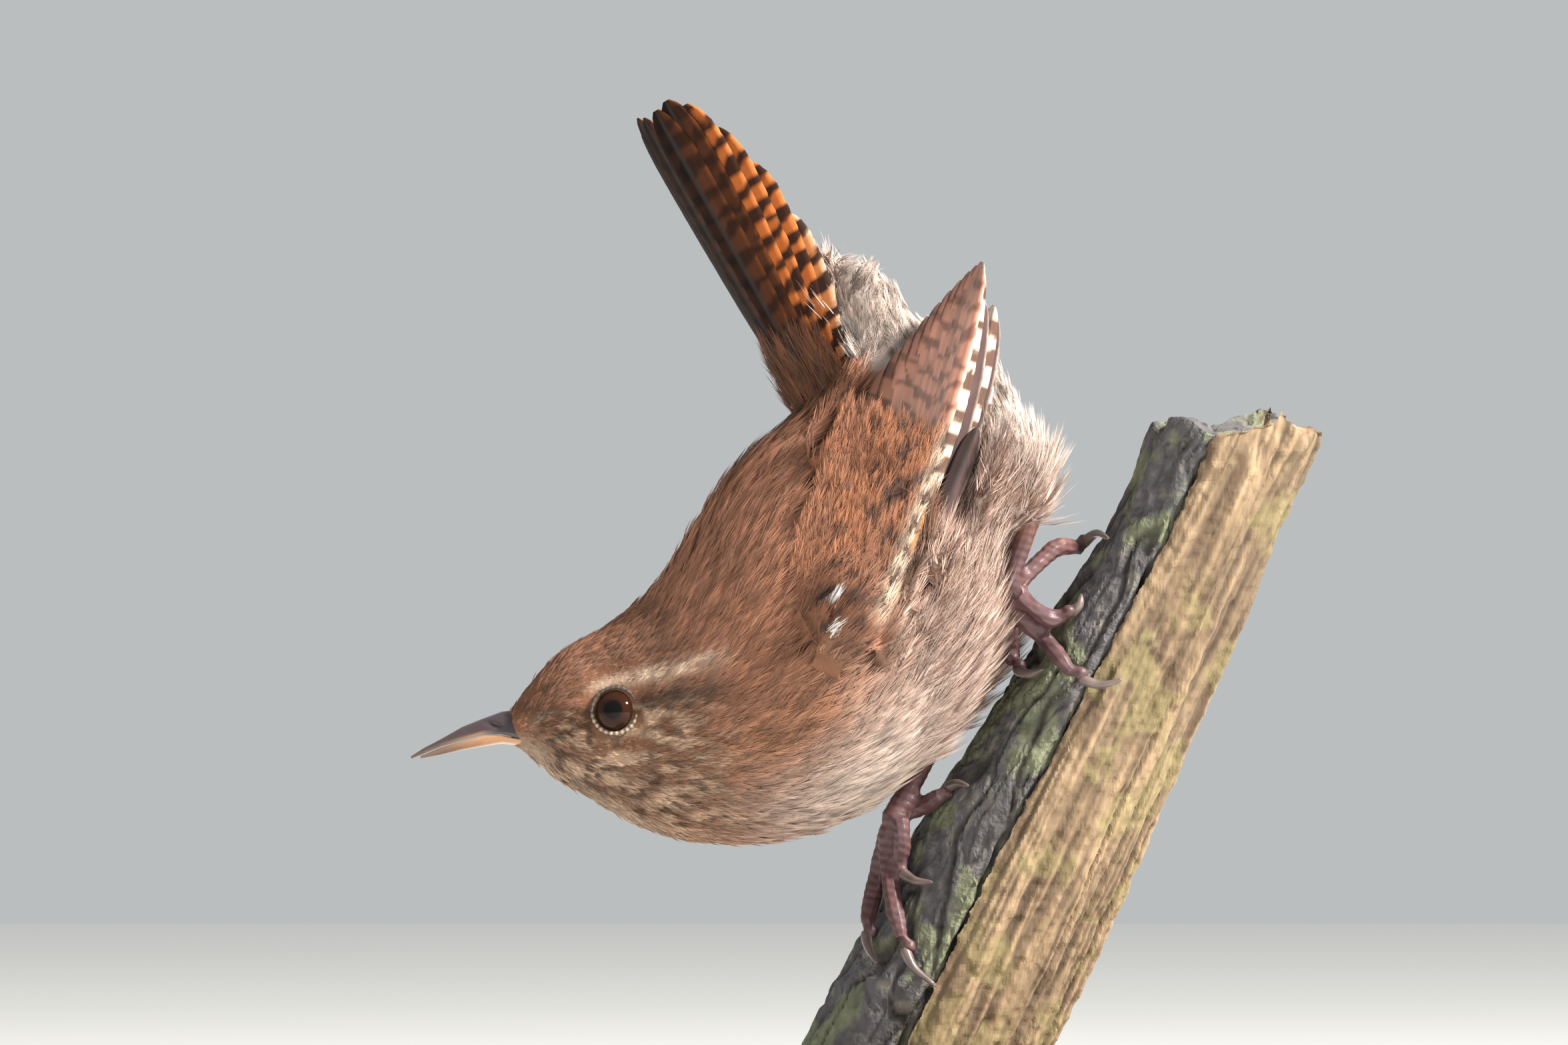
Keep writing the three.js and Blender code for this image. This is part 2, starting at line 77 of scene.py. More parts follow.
def noise(points, size, seed=0):
    """Smooth noise from 0 to 1; points in mm, size the width of a blotch in mm (one number or three)."""
    p = points / np.asarray(size, float)
    cell = np.floor(p)
    f = p - cell
    f = f * f * (3 - 2 * f)
    total = np.zeros(len(p))
    for step in np.ndindex(2, 2, 2):
        weight = np.where(step, f, 1 - f)
        total += weight[:, 0] * weight[:, 1] * weight[:, 2] * hashed(cell + step, seed)
    return total


def smooth(x, low, high):
    t = np.clip((x - low) / (high - low), 0, 1)
    return t * t * (3 - 2 * t)


def window(x, start, full, ebb, end):
    """1 from full to ebb, fading to 0 at start and at end."""
    return smooth(x, start, full) * (1 - smooth(x, ebb, end))


def mix(a, b, share):
    """Colour a turned toward colour b, by one share from 0 to 1 for each place."""
    a = np.asarray(a, float)
    return a + (np.asarray(b) - a) * np.asarray(share)[..., None]


def unit(vectors):
    return vectors / np.maximum(np.linalg.norm(vectors, axis=-1, keepdims=True), 1e-9)


print("noise at the origin:", noise(np.zeros((1, 3)), 1.0)[0])

# %% [markdown]
# Thousands of barbs are too many to be objects. Blender takes whole arrays of corners and faces, so each
# piece is worked out in mm and handed over at once, with its colour at the corners.

# %% Meshes from arrays
def link(thing):
    bpy.context.scene.collection.objects.link(thing)


def mesh_object(name, verts_mm, faces, colours=None, shade=True):
    """A mesh of triangles or quads from arrays: corners in mm, one colour for each corner."""
    mesh = bpy.data.meshes.new(name)
    faces = np.asarray(faces)
    corners = faces.shape[1]
    mesh.vertices.add(len(verts_mm))
    mesh.vertices.foreach_set("co", (np.asarray(verts_mm) * MM).astype(np.float32).ravel())
    mesh.loops.add(faces.size)
    mesh.loops.foreach_set("vertex_index", faces.astype(np.int32).ravel())
    mesh.polygons.add(len(faces))
    mesh.polygons.foreach_set("loop_start", np.arange(0, faces.size, corners, dtype=np.int32))
    mesh.polygons.foreach_set("use_smooth", np.full(len(faces), shade))
    mesh.update(calc_edges=True)
    if colours is not None:
        paint(mesh, colours)
    thing = bpy.data.objects.new(name, mesh)
    link(thing)
    return thing


def paint(mesh, colours):
    layer = mesh.color_attributes.new("tone", "FLOAT_COLOR", "POINT")
    rgba = np.ones((len(mesh.vertices), 4), np.float32)
    rgba[:, :3] = np.clip(colours, 0, 1)
    layer.data.foreach_set("color", rgba.ravel())


def positions(thing):
    flat = np.empty(len(thing.data.vertices) * 3, np.float32)
    thing.data.vertices.foreach_get("co", flat)
    return flat.reshape(-1, 3).astype(float) / MM


def normals(thing):
    flat = np.empty(len(thing.data.vertices) * 3, np.float32)
    thing.data.vertices.foreach_get("normal", flat)
    return flat.reshape(-1, 3).astype(float)


def place(thing, verts_mm):
    thing.data.vertices.foreach_set("co", (verts_mm * MM).astype(np.float32).ravel())
    thing.data.update()


def swell(thing, amount):
    """Move every corner along its normal, in mm."""
    place(thing, positions(thing) + amount * normals(thing))


print("corners of the torso solid:", len(positions(frame["nodes"]["torso"])))

# %% [markdown]
# The CAD solids have the right size, so soft forms start from copies of them, with doubled corners merged.
# Fine gaps between parts close when a copy becomes one even mesh.

# %% Copies and modifiers
MERGE_GAP = 0.01 * MM


def only(thing):
    bpy.ops.object.select_all(action="DESELECT")
    thing.select_set(True)
    bpy.context.view_layer.objects.active = thing


def in_edit_mode(thing, action, **settings):
    only(thing)
    bpy.ops.object.mode_set(mode="EDIT")
    bpy.ops.mesh.select_all(action="SELECT")
    action(**settings)
    bpy.ops.object.mode_set(mode="OBJECT")


def joined(things):
    only(things[0])
    for thing in things:
        thing.select_set(True)
    if len(things) > 1:
        bpy.ops.object.join()
    return things[0]


def copies_of(names, new_name):
    """Copies of CAD nodes joined as one object, doubled corners merged."""
    copies = []
    for node in names:
        copy = frame["nodes"][node].copy()
        copy.data = copy.data.copy()
        for key in list(copy.keys()):
            if key.startswith("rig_"):
                del copy[key]
        link(copy)
        copies.append(copy)
    thing = joined(copies)
    thing.name = new_name
    thing.data.materials.clear()
    in_edit_mode(thing, bpy.ops.mesh.remove_doubles, threshold=MERGE_GAP)
    return thing


def modify(thing, kind, **settings):
    modifier = thing.modifiers.new(kind.lower(), kind)
    for key, value in settings.items():
        setattr(modifier, key, value)
    only(thing)
    bpy.ops.object.modifier_apply(modifier=modifier.name)


def even_mesh(thing, voxel, rounds):
    """One closed mesh of even faces, voxel in mm, smoothed for some rounds."""
    modify(thing, "REMESH", mode="VOXEL", voxel_size=voxel * MM)
    modify(thing, "SMOOTH", factor=0.5, iterations=rounds)


def finish_piece(thing, material, nodes=()):
    thing.data.materials.clear()
    thing.data.materials.append(material)
    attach(thing, "root")
    if nodes:
        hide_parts(*nodes)
    return thing


print("doubled corners merge within", MERGE_GAP, "m")

# %% [markdown]
# Feather, horn, skin, bark and wood differ in gloss and fine relief, so one class builds them all from a
# table. Image textures could do it too, but noise in object space needs no unwrap.

# %% Materials
class Surface:
    """A Principled material with painted colour and procedural relief."""

    def __init__(self, name, roughness, **constants):
        self.material = bpy.data.materials.new(name)
        self.material.use_nodes = True
        self.tree = self.material.node_tree
        self.main = self.tree.nodes["Principled BSDF"]
        self.main.inputs["Roughness"].default_value = roughness
        for key, value in constants.items():
            self.main.inputs[key.replace("_", " ")].default_value = value

    def node(self, kind, out=0, settings=None, **inputs):
        made = self.tree.nodes.new(kind)
        for key, value in (settings or {}).items():
            setattr(made, key, value)
        for key, value in inputs.items():
            target = made.inputs[key.replace("_", " ")]
            if isinstance(value, bpy.types.NodeSocket):
                self.tree.links.new(value, target)
            else:
                target.default_value = value
        return made.outputs[out]

    def painted(self):
        return self.node("ShaderNodeVertexColor", settings={"layer_name": "tone"})

    def grain(self, scale, stretch=(1, 1, 1), detail=3.0):
        where = self.node("ShaderNodeTexCoord", out=3)
        where = self.node("ShaderNodeMapping", Vector=where, Scale=stretch)
        return self.node("ShaderNodeTexNoise", Vector=where, Scale=scale, Detail=detail)

    def colour(self, shade):
        self.tree.links.new(shade, self.main.inputs["Base Color"])

    def relief(self, height, strength, depth):
        """Bumps from a height; depth in mm."""
        bump = self.node("ShaderNodeBump", Height=height, Strength=strength, Distance=depth * MM)
        self.tree.links.new(bump, self.main.inputs["Normal"])


# each row: roughness, grains to a metre, strength and depth in mm of the relief, share of mirrored light
FINISHES = {
    "coat": (0.75, 4000, 0.2, 0.05, 0.25),
    "skin_under_coat": (0.9, 2500, 0.6, 0.2, 0.1),
    "vane": (0.68, 3500, 0.25, 0.05, 0.05),
    "horn": (0.3, 900, 0.15, 0.1, 0.5),
    "leg_scales": (0.45, 1600, 0.5, 0.1, 0.35),
    "bark": (0.92, 1400, 0.9, 0.4, 0.2),
    "split_wood": (0.8, 900, 0.7, 0.3, 0.25),
    "lid": (0.6, 1800, 0.4, 0.1, 0.5),
    "eye": (0.06, 900, 0.0, 0.1, 0.13),
}
SHEEN = {"coat": 0.1}
STRETCH = {"split_wood": (1, 1, 0.3)}
stuff = {}
for name, (roughness, grains, strength, relief_depth, shine) in FINISHES.items():
    surface = Surface(name, roughness, Specular_IOR_Level=shine, Sheen_Weight=SHEEN.get(name, 0.0))
    surface.colour(surface.painted())
    surface.relief(surface.grain(grains, STRETCH.get(name, (1, 1, 1))), strength, relief_depth)
    stuff[name] = surface.material
print("materials:", ", ".join(stuff))

# %% [markdown]
# A back line and a belly line run from bill to vent. A place is named by its distance along them and its
# height from belly to back, and feathers lie along them. The rolled tail has its own axes.

# %% Where a place is on the bird
BACK = np.array([(-43.6, 55.5), (-40, 60.1), (-34.3, 64), (-31, 66.6), (-28.4, 69.5), (-26.2, 73.4),
                 (-23.3, 77.9), (-20, 81.7), (-16.8, 84.3), (-14.6, 86.2), (-13, 88.2), (-11.6, 90.2),
                 (-10.2, 92), (-8.6, 94.5)])
BELLY = np.array([(-43.4, 52.1), (-38.6, 48.2), (-31, 43.8), (-25.5, 41.9), (-19, 41.5), (-12, 42.5),
                  (-6.7, 45.1), (-1, 49.7), (3.6, 56.4), (6.4, 62.6), (7.4, 70), (11.6, 78), (8.8, 85.8),
                  (2.0, 93.5)])
STATION_STEPS = 4
LIE_REACH = 3.0
TAIL_BASE = np.array([-12.6, 0, 87.2])
TAIL_ROLL = math.radians(37)
tail_axis = np.array([-0.497, 0, 0.868])
dorsal = np.array([-0.868, 0, -0.497])
left = np.array([0, -1.0, 0])
tail_side = left * math.cos(TAIL_ROLL) - dorsal * math.sin(TAIL_ROLL)
tail_up = dorsal * math.cos(TAIL_ROLL) + left * math.sin(TAIL_ROLL)


def located(points):
    """For each place: distance along the body 0..1, height 0 belly..1 back, and the way the feathers lie."""
    stretches = len(BACK) - 1
    best = np.full(len(points), np.inf)
    along = np.zeros(len(points))
    rise = np.zeros(len(points))
    lie = np.zeros((len(points), 3))
    flat = points[:, [0, 2]]
    for i in range(stretches):
        for u in np.arange(STATION_STEPS) / STATION_STEPS:
            back = BACK[i] * (1 - u) + BACK[i + 1] * u
            belly = BELLY[i] * (1 - u) + BELLY[i + 1] * u
            span = back - belly
            height = ((flat - belly) @ span) / (span @ span)
            foot = belly + height[:, None] * span
            away = np.linalg.norm(flat - foot, axis=1)
            closer = away < best
            best = np.where(closer, away, best)
            along = np.where(closer, (i + u) / stretches, along)
            rise = np.where(closer, height, rise)
            h = height[:, None]
            step = (1 - h) * (BELLY[i + 1] - BELLY[i]) + h * (BACK[i + 1] - BACK[i])
            lie[:, [0, 2]] += np.exp(-(away / LIE_REACH) ** 2)[:, None] * unit(step)
    return along, np.clip(rise, 0, 1), unit(lie)


print("stations along the body:", len(BACK))

# %% [markdown]
# A wren is rufous above and paler below, with dark bars, a thin buff brow over a dark line, and a streaked
# cheek. Painting by hand would miss the barbs, so the markings are laws of place, bent by noise.

# %% Markings of body and head
BROWN = (0.3, 0.135, 0.078)
RUFOUS = (0.36, 0.15, 0.082)
BUFF = (0.31, 0.15, 0.088)
PALE = (0.62, 0.53, 0.47)
DARK = np.array([0.05, 0.027, 0.016])
FLANK = (0.58, 0.43, 0.37)
FLANK_BAR = (0.17, 0.085, 0.055)
VENT = (0.56, 0.48, 0.43)
TAIL_ROOT_RUST_AND_SHADE = (0.17, 0.055, 0.02)
THROAT_IN_SHADE = (0.36, 0.27, 0.2)
CHEEK = (0.2, 0.098, 0.056)
STREAK = (0.52, 0.36, 0.25)
BROW = (0.68, 0.49, 0.36)
BARS_ALONG = 30


def body_tones(points, along, rise, blotch):
    low = smooth(0.6 - rise + 0.12 * (blotch - 0.5), 0.0, 0.25)
    flank = smooth(along, 0.48, 0.66) * smooth(0.72 - rise, 0.0, 0.25)
    back = smooth(along, 0.35, 0.7) * smooth(rise, 0.72, 0.85)
    vent = smooth(along, 0.86, 0.93)
    toward = points - TAIL_BASE
    root = smooth(toward @ tail_axis, -4.5, 0) * smooth(toward @ tail_up, -1.4, 0.2)
    bend = 1.1 * (noise(points, 2.6, 8) - 0.5)
    bars = 0.5 + 0.5 * np.sin(2 * np.pi * (along * BARS_ALONG + bend))
    tone = mix(BROWN, RUFOUS, smooth(along, 0.4, 0.75))
    tone = mix(tone, BUFF, low)
    tone = mix(tone, PALE, low * smooth(0.26 - rise, -0.06, 0.2) * smooth(along, 0.2, 0.5) * 0.85)
    tone = mix(tone, FLANK, flank * 0.7)
    tone = mix(tone, FLANK_BAR, smooth(bars, 0.45, 0.8) * flank * 0.9)
    tone = mix(tone, DARK * 1.5, smooth(bars, 0.55, 0.9) * back * 0.55)
    tone = mix(tone, VENT, vent * smooth(points[:, 0], -14, -9) * 0.8)
    tone = mix(tone, DARK, vent * smooth(noise(points, 1.2, 23), 0.6, 0.75) * 0.7)
    # At the back of the tail's root the coat is dark rust mixed with near black: partly its own colour,
    # partly painted shade.
    return mix(tone, mix(DARK, TAIL_ROOT_RUST_AND_SHADE, noise(points, (0.9, 2.0, 2.5), 24)), root * 0.9)


def head_tones(tone, points, along, rise, scaly):
    x, y, z = points.T
    side = smooth(np.abs(y), 3, 5)
    head = 1 - smooth(along, 0.24, 0.38)
    throat = smooth(0.36 - rise, -0.08, 0.12) * (1 - smooth(along, 0.16, 0.34))
    cheek = head * smooth(np.abs(y), 2.5, 5) * (1 - smooth(rise, 0.58, 0.66))
    crown = head * smooth(rise, 0.62, 0.72)
    streak = noise(points, (1.7, 2.4, 0.7), 31)
    # The throat's pale buff is painted darker here, as shade.
    tone = mix(tone, THROAT_IN_SHADE, throat * 0.85)
    tone = mix(tone, CHEEK, cheek * 0.7)
    tone = mix(tone, STREAK, cheek * smooth(streak, 0.38, 0.68) * 0.8)
    tone = mix(tone, DARK * 1.4, cheek * smooth(scaly, 0.54, 0.76) * 0.8)
    tone = mix(tone, DARK * 2.0, throat * smooth(scaly, 0.55, 0.8) * 0.6)
    tone = mix(tone, DARK * 1.8, crown * (0.25 + 0.4 * smooth(scaly, 0.5, 0.8)))
    brow_line = 58.0 + 0.24 * np.clip(x + 34, -3, 16)
    brow_width = 0.6 + 0.3 * smooth(x, -34, -26)
    brow = np.exp(-((z - brow_line) / brow_width) ** 2) * window(x, -36.5, -33, -24, -19)
    tone = mix(tone, BROW, brow * side * (0.55 + 0.45 * smooth(streak, 0.3, 0.6)))
    eye_line = 56.6 + 0.12 * (x + 30)
    stripe = np.exp(-(z - eye_line) ** 2) * window(x, -30.8, -29.6, -23, -18)
    tone = mix(tone, DARK, stripe * side * 0.75)
    lore = np.exp(-(z - 55.2) ** 2) * window(x, -42.5, -40, -36, -34.5)
    return mix(tone, DARK * 1.6, lore * 0.6)


def markings(points, along, rise):
    blotch = noise(points, 1.3, 3)
    scaly = noise(points, (0.9, 0.9, 0.7), 32)
    tone = body_tones(points, along, rise, blotch)
    tone = head_tones(tone, points, along, rise, scaly)
    return tone * (0.72 + 0.34 * blotch + 0.22 * scaly)[:, None]


print("bars along the body:", BARS_ALONG)

# %% [markdown]
# The wing's small coverts are warmer, with dark spots, a row of pale and dark blocks at their lower edge,
# and two white spots. They are laws of the wing's own frame.

# %% Markings of the wing
WING_AXIS = np.array([0.324, 0.946])
WING_ROOT = np.array([-8.0, 64.0])
COVERT_DULL = (0.17, 0.076, 0.046)
COVERT_WARM = (0.285, 0.108, 0.048)
COVERT_SPOT = (0.055, 0.028, 0.022)
BLOCK_PALE = (0.7, 0.56, 0.42)
BLOCK_DARK = (0.085, 0.045, 0.035)
BLOCK_PITCH = 2.8
SPOT_PLACES = ((-10.4, 67.3), (-10.3, 64.3))
SPOT_WHITE = (0.85, 0.82, 0.78)
SPOT_RIM = (0.03, 0.02, 0.015)


def wing_place(points):
    """How far along (s) and across (t) the folded wing a place is, in mm."""
    flat = points[:, [0, 2]] - WING_ROOT
    return flat @ WING_AXIS, flat @ np.array([WING_AXIS[1], -WING_AXIS[0]])


def wing_markings(points, tone):
    s, t = wing_place(points)
    x, y, z = points.T
    mask = window(s, -5, 0, 20, 23) * window(t, -9.5, -5, 3.0, 4.0) * smooth(np.abs(y), 5, 7)
    warm = noise(points, (3.0, 9, 3.0), 72)
    tone = mix(tone, mix(COVERT_DULL, COVERT_WARM, warm), 0.85 * mask)
    spots = smooth(noise(points, (1.3, 9, 0.9), 71), 0.56, 0.68) * smooth(t, -9, -4)
    tone = mix(tone, COVERT_SPOT, spots * mask * 0.85)
    lower = np.exp(-((t - 1.6 - 0.02 * s) / 0.75) ** 2) * smooth(s, 0, 3)
    blocks = 0.5 + 0.5 * np.sin(2 * np.pi * s / BLOCK_PITCH + 1.5 * noise(points, 2.0, 73))
    tone = mix(tone, BLOCK_PALE, lower * mask * 0.8)
    tone = mix(tone, BLOCK_DARK, lower * mask * smooth(blocks, 0.42, 0.62) * 0.95)
    for spot_x, spot_z in SPOT_PLACES:
        near = np.exp(-(((x - spot_x) / 0.7) ** 2 + ((z - spot_z) / 0.6) ** 2))
        below = np.exp(-(((x - spot_x + 1.2) / 0.7) ** 2 + ((z - spot_z + 0.2) / 0.6) ** 2))
        tone = mix(tone, SPOT_RIM, smooth(below, 0.3, 0.6) * mask)
        tone = mix(tone, SPOT_WHITE, smooth(near, 0.35, 0.6) * mask)
    return tone


print("white spots at", SPOT_PLACES)

# %% [markdown]
# The body under the coat is one closed skin. It could be sculpted anew, but the CAD masses have the right
# size. Balls fill what they leave open at eyes, wing bends and shanks.

# %% Fillers under the skin
FLESH = ["head", "neck", "torso", "undertail_coverts", "thigh_left", "thigh_right"]
EYES = [np.array([-32.3, side * 5.7, 55.4]) for side in (-1, 1)]
EYE_OUT = [unit(np.array([-0.2, side, 0.12])) for side in (-1, 1)]
SEAT_DEPTH = 1.5
SEAT_RADIUS = 3.2
BEND_START = np.array([-14.6, 8.7, 64.4])
BEND_STEP = np.array([2.5, -0.12, -0.95])
BEND_RADIUS = 2.6
CORNERS = [(-14.0, 9.4, 62.9), (-15.6, 9.2, 66.0), (-5.1, 9.3, 61.0), (-3.2, 8.8, 63.0)]
CORNER_RADIUS = 2.9
SHANK_TOP = 1.2
SHANK_SHIFT = np.array([-0.6, 0, 0.2])
SHANK_RADIUS = 2.1


def ball(name, centre, radius):
    bpy.ops.mesh.primitive_ico_sphere_add(subdivisions=4, radius=radius * MM)
    thing = bpy.context.object
    thing.name = name
    place(thing, positions(thing) + centre)
    return thing


fillers = [ball(f"seat_{i}", EYES[i] - SEAT_DEPTH * EYE_OUT[i], SEAT_RADIUS) for i in (0, 1)]
for side in (-1, 1):
    mirror = np.array([1, side, 1])
    for k in range(5):
        fillers.append(ball(f"wing_bend_{k}_{side}", (BEND_START + k * BEND_STEP) * mirror, BEND_RADIUS))
    for k, corner in enumerate(CORNERS):
        fillers.append(ball(f"wing_corner_{k}_{side}", corner * mirror, CORNER_RADIUS))
for word in ("left", "right"):
    shank = positions(frame["nodes"][f"tarsus_{word}"])
    upper_end = shank[shank[:, 2] > shank[:, 2].max() - SHANK_TOP].mean(axis=0)
    fillers.append(ball(f"shank_top_{word}", upper_end + SHANK_SHIFT, SHANK_RADIUS))
print("fillers:", len(fillers))

# %% [markdown]
# Masses and fillers are swollen, remeshed and drawn in, which closes their gaps. A vertex group melts away
# the step at the front of the wing, which the real bird doesn't have.

# %% One closed skin
SKIN_VOXEL = 0.45
SWELLINGS = ((0.5, 6), (0.7, 10))
MELT_LEVELS = 10
skin = joined([copies_of(FLESH + ["wing_left_coverts", "wing_right_coverts"], "skin")] + fillers)
for swelling, rounds in SWELLINGS:
    swell(skin, swelling)
    even_mesh(skin, SKIN_VOXEL, rounds)
swell(skin, -sum(swelling for swelling, rounds in SWELLINGS))
p = positions(skin)
front = window(wing_place(p)[0], -13, -9, 11, 16) * smooth(np.abs(p[:, 1]), 5, 7.5)
melt = skin.vertex_groups.new(name="wing_front")
for level in range(1, MELT_LEVELS + 1):
    chosen = np.nonzero(np.round(front * MELT_LEVELS) == level)[0]
    melt.add(chosen.tolist(), level / MELT_LEVELS, "REPLACE")
modify(skin, "SMOOTH", factor=0.8, iterations=50, vertex_group="wing_front")
modify(skin, "SMOOTH", factor=0.5, iterations=6)
print("corners of the skin:", len(p))

# %% [markdown]
# The CAD outline runs over the feather tips, so the skin is drawn in by the coat's depth, and sinks further
# under the stiff wing feathers. Its tone is darkened as painted shade, as between real feathers.

# %% Room for coat and vanes
VANE_ROOM = 1.5
SKIN_PAINTED_SHADE = 0.55
skin_points = positions(skin)
skin_normals = normals(skin)
along, rise, lie = located(skin_points)
depth = 0.4 + 0.5 * smooth(along, 0.15, 0.4)
skin_points = skin_points - skin_normals * depth[:, None]
s, t = wing_place(skin_points)
y = skin_points[:, 1]
wing_area = window(s, 3, 13, 24, 30) * window(t, -11, -9, 4, 5.5) * smooth(np.abs(y), 6, 8)
skin_points[:, 1] = y - np.sign(y) * VANE_ROOM * wing_area
place(skin, skin_points)
modify(skin, "SMOOTH", factor=0.5, iterations=8)
skin_points = positions(skin)
# The skin's markings are darkened by a factor, as painted shade between the feathers.
paint(skin.data, markings(skin_points, along, rise) * SKIN_PAINTED_SHADE)
finish_piece(skin, stuff["skin_under_coat"], FLESH)
print("coat depth in mm up to", depth.max().round(2))

# %% [markdown]
# Hair particles could grow a coat, but they don't leave as a mesh, so roots are spread over the skin at
# random: more thickly on the head, and not under the folded vanes or on the wing's end faces.

# %% Where body feathers root
def growth(middle, along_body, height, facing, kind):
    """How thickly feathers grow at places of the skin."""
    s, t = wing_place(middle)
    out = np.abs(middle[:, 1])
    thick = 1 + 4.0 * (1 - smooth(along_body, 0.1, 0.42))
    under_vanes = (s > 14.5) & (s < 34) & (t > -8) & (t < 3) & (out > 5)
    end_face = ((facing > 0.55) | (facing < -0.85)) & (out > 6) & (s > -8)
    thick = np.where(under_vanes | end_face, 0.0, thick)
    if kind == "down":
        fluffy = (along_body > 0.5) & (height < 0.55) & (middle[:, 0] > -3) | (along_body > 0.9)
        thick = np.where(fluffy, thick, 0.0)
    return thick


def spread_roots(count, kind):
    skin.data.calc_loop_triangles()
    tris = np.empty(len(skin.data.loop_triangles) * 3, np.int32)
    skin.data.loop_triangles.foreach_get("vertices", tris)
    tris = tris.reshape(-1, 3)
    a, b, c = (skin_points[tris[:, k]] for k in range(3))
    area = np.linalg.norm(np.cross(b - a, c - a), axis=1)
    facing = np.sum(skin_normals[tris].mean(axis=1) * lie[tris].mean(axis=1), axis=1)
    weight = area * growth((a + b + c) / 3, along[tris].mean(axis=1), rise[tris].mean(axis=1), facing, kind)
    chosen = rng.choice(len(tris), count, p=weight / weight.sum())
    u, w = rng.random(count), rng.random(count)
    flip = u + w > 1
    u, w = np.where(flip, 1 - u, u), np.where(flip, 1 - w, w)
    points = a[chosen] + (b - a)[chosen] * u[:, None] + (c - a)[chosen] * w[:, None]
    corner = tris[chosen, 0]
    _, _, way = located(points)
    length = 1.5 + 2.3 * smooth(along[corner], 0.14, 0.5)
    length *= 1 - 0.45 * (1 - smooth(along[corner], 0.0, 0.1))
    length *= 1 - 0.5 * smooth(along[corner], 0.84, 0.92)
    if kind == "down":
        length *= 1.2
    half = np.where(points[:, 1] < 0, 0.01, 0.51)
    spot = np.column_stack([0.01 + 0.98 * along[corner], half + 0.47 * rise[corner]])
    return points, skin_normals[corner], along[corner], rise[corner], way, length, spot


print("places of skin to grow on:", len(skin_points))

# %% [markdown]
# A body feather is a short shaft with soft barbs. Each barb is a closed sliver, wide at its root and
# pointed at its tip. Barbs fan out, bend back to the body and take the markings where they are seen.

# %% How a feather grows
EYE_ROOM = 2.35
LID_ROOM = 2.5
FACE = 5.0
BODY_LENGTH = 62
BARB_ROOT = {"contour": 0.075, "down": 0.045}
BARB_FAN = {"contour": 0.36, "down": 0.6}
BARB_LIFT = {"contour": 0.07, "down": 0.34}
SLIVER = np.array([[0, 1, 2], [0, 3, 1], [1, 3, 2], [2, 3, 0]])


def grow_coat(roots, barbs, kind):
    points, out, s, h, way, length, spot = roots
    way = unit(way - out * np.sum(way * out, axis=1, keepdims=True) + rng.normal(0, 0.07, points.shape))
    length = length * rng.uniform(0.85, 1.15, len(points))
    clear = np.ones(len(points), bool)
    for eye in EYES:
        far = np.linalg.norm(points - eye, axis=1)
        clear &= np.linalg.norm(points + way * 0.6 - eye, axis=1) > LID_ROOM
        clear &= far > EYE_ROOM
        length = np.where(far < FACE, length * 0.55, length)
    points, out, way, length, s, h, spot = (k[clear] for k in (points, out, way, length, s, h, spot))
    across = unit(np.cross(out, way))
    lift = BARB_LIFT[kind] + rng.uniform(0, 0.08, len(points))
    own = rng.uniform(0.76, 1.26, (len(points), 1))
    head = 1 - smooth(s, 0.2, 0.4)
    n = len(points)
    verts = np.empty((n, barbs, 4, 3))
    colours = np.empty((n, barbs, 4, 3))
    for k in range(barbs):
        hand = 2 * k / (barbs - 1) - 1
        start = 0.62 * (1 - abs(hand)) + rng.uniform(0, 0.1, n)
        fan = BARB_FAN[kind] * hand + rng.normal(0, 0.06, n)
        reach = (0.6 - 0.1 * abs(hand)) * rng.uniform(0.8, 1.1, n)
        begin = points + way * (start * length)[:, None] + out * (start * length * lift - 0.08)[:, None]
        begin = begin + across * (0.1 * hand * length)[:, None]
        aim = unit(way + across * fan[:, None] + out * (lift - 0.08 * start)[:, None])
        tip = begin + aim * (reach * length)[:, None] - out * (0.05 * length * (start + reach) ** 2)[:, None]
        side_way = unit(np.cross(aim, out))
        wide = BARB_ROOT[kind] * (0.8 + 0.4 * rng.random(n)) * (1 - 0.35 * head)
        verts[:, k, 0] = begin + side_way * wide[:, None]
        verts[:, k, 1] = begin - side_way * wide[:, None]
        verts[:, k, 2] = begin + out * 0.04
        verts[:, k, 3] = tip
        seen = begin + 0.6 * (tip - begin)
        further = np.sum((seen - points) * way, axis=1) / BODY_LENGTH
        tone = wing_markings(seen, markings(seen, np.clip(s + further, 0, 1), h))
        base = tone * own * rng.uniform(0.82, 1.18, (n, 1))
        # Each barb is darker at its root, as painted shade between feathers, and lighter at its tip, as
        # painted light.
        colours[:, k, :3] = (base * (0.55 - 0.15 * head)[:, None])[:, None]
        colours[:, k, 3] = base * (1.2 + 0.3 * head)[:, None]
    verts = verts.reshape(-1, 3)
    colours = colours.reshape(-1, 3)
    faces = (np.arange(n * barbs)[:, None, None] * 4 + SLIVER).reshape(-1, 3)
    return verts, faces, colours, np.repeat(spot, barbs * 4, axis=0)


print("triangles in a barb:", len(SLIVER))

# %% [markdown]
# The feathers are made as a few large pieces. A picture baked for one needs to know where each sliver
# belongs, so every sliver gets a small patch on a plain unwrap. Soft feathers also lie over stiff ones.

# %% Coat and down
PIECE_LIMIT = 190000
COAT_BARBS = 17
DOWN_BARBS = 14
LAID_BARBS = 16
PATCH = 0.003


def add_bake_map(piece, piece_faces, spots):
    layer = piece.data.uv_layers.new(name="OFBake")
    owner = piece_faces.ravel()
    shift = PATCH * np.column_stack([owner % 4 == 1, owner % 4 == 3])
    layer.data.foreach_set("uv", (spots[owner] + shift).astype(np.float32).ravel())


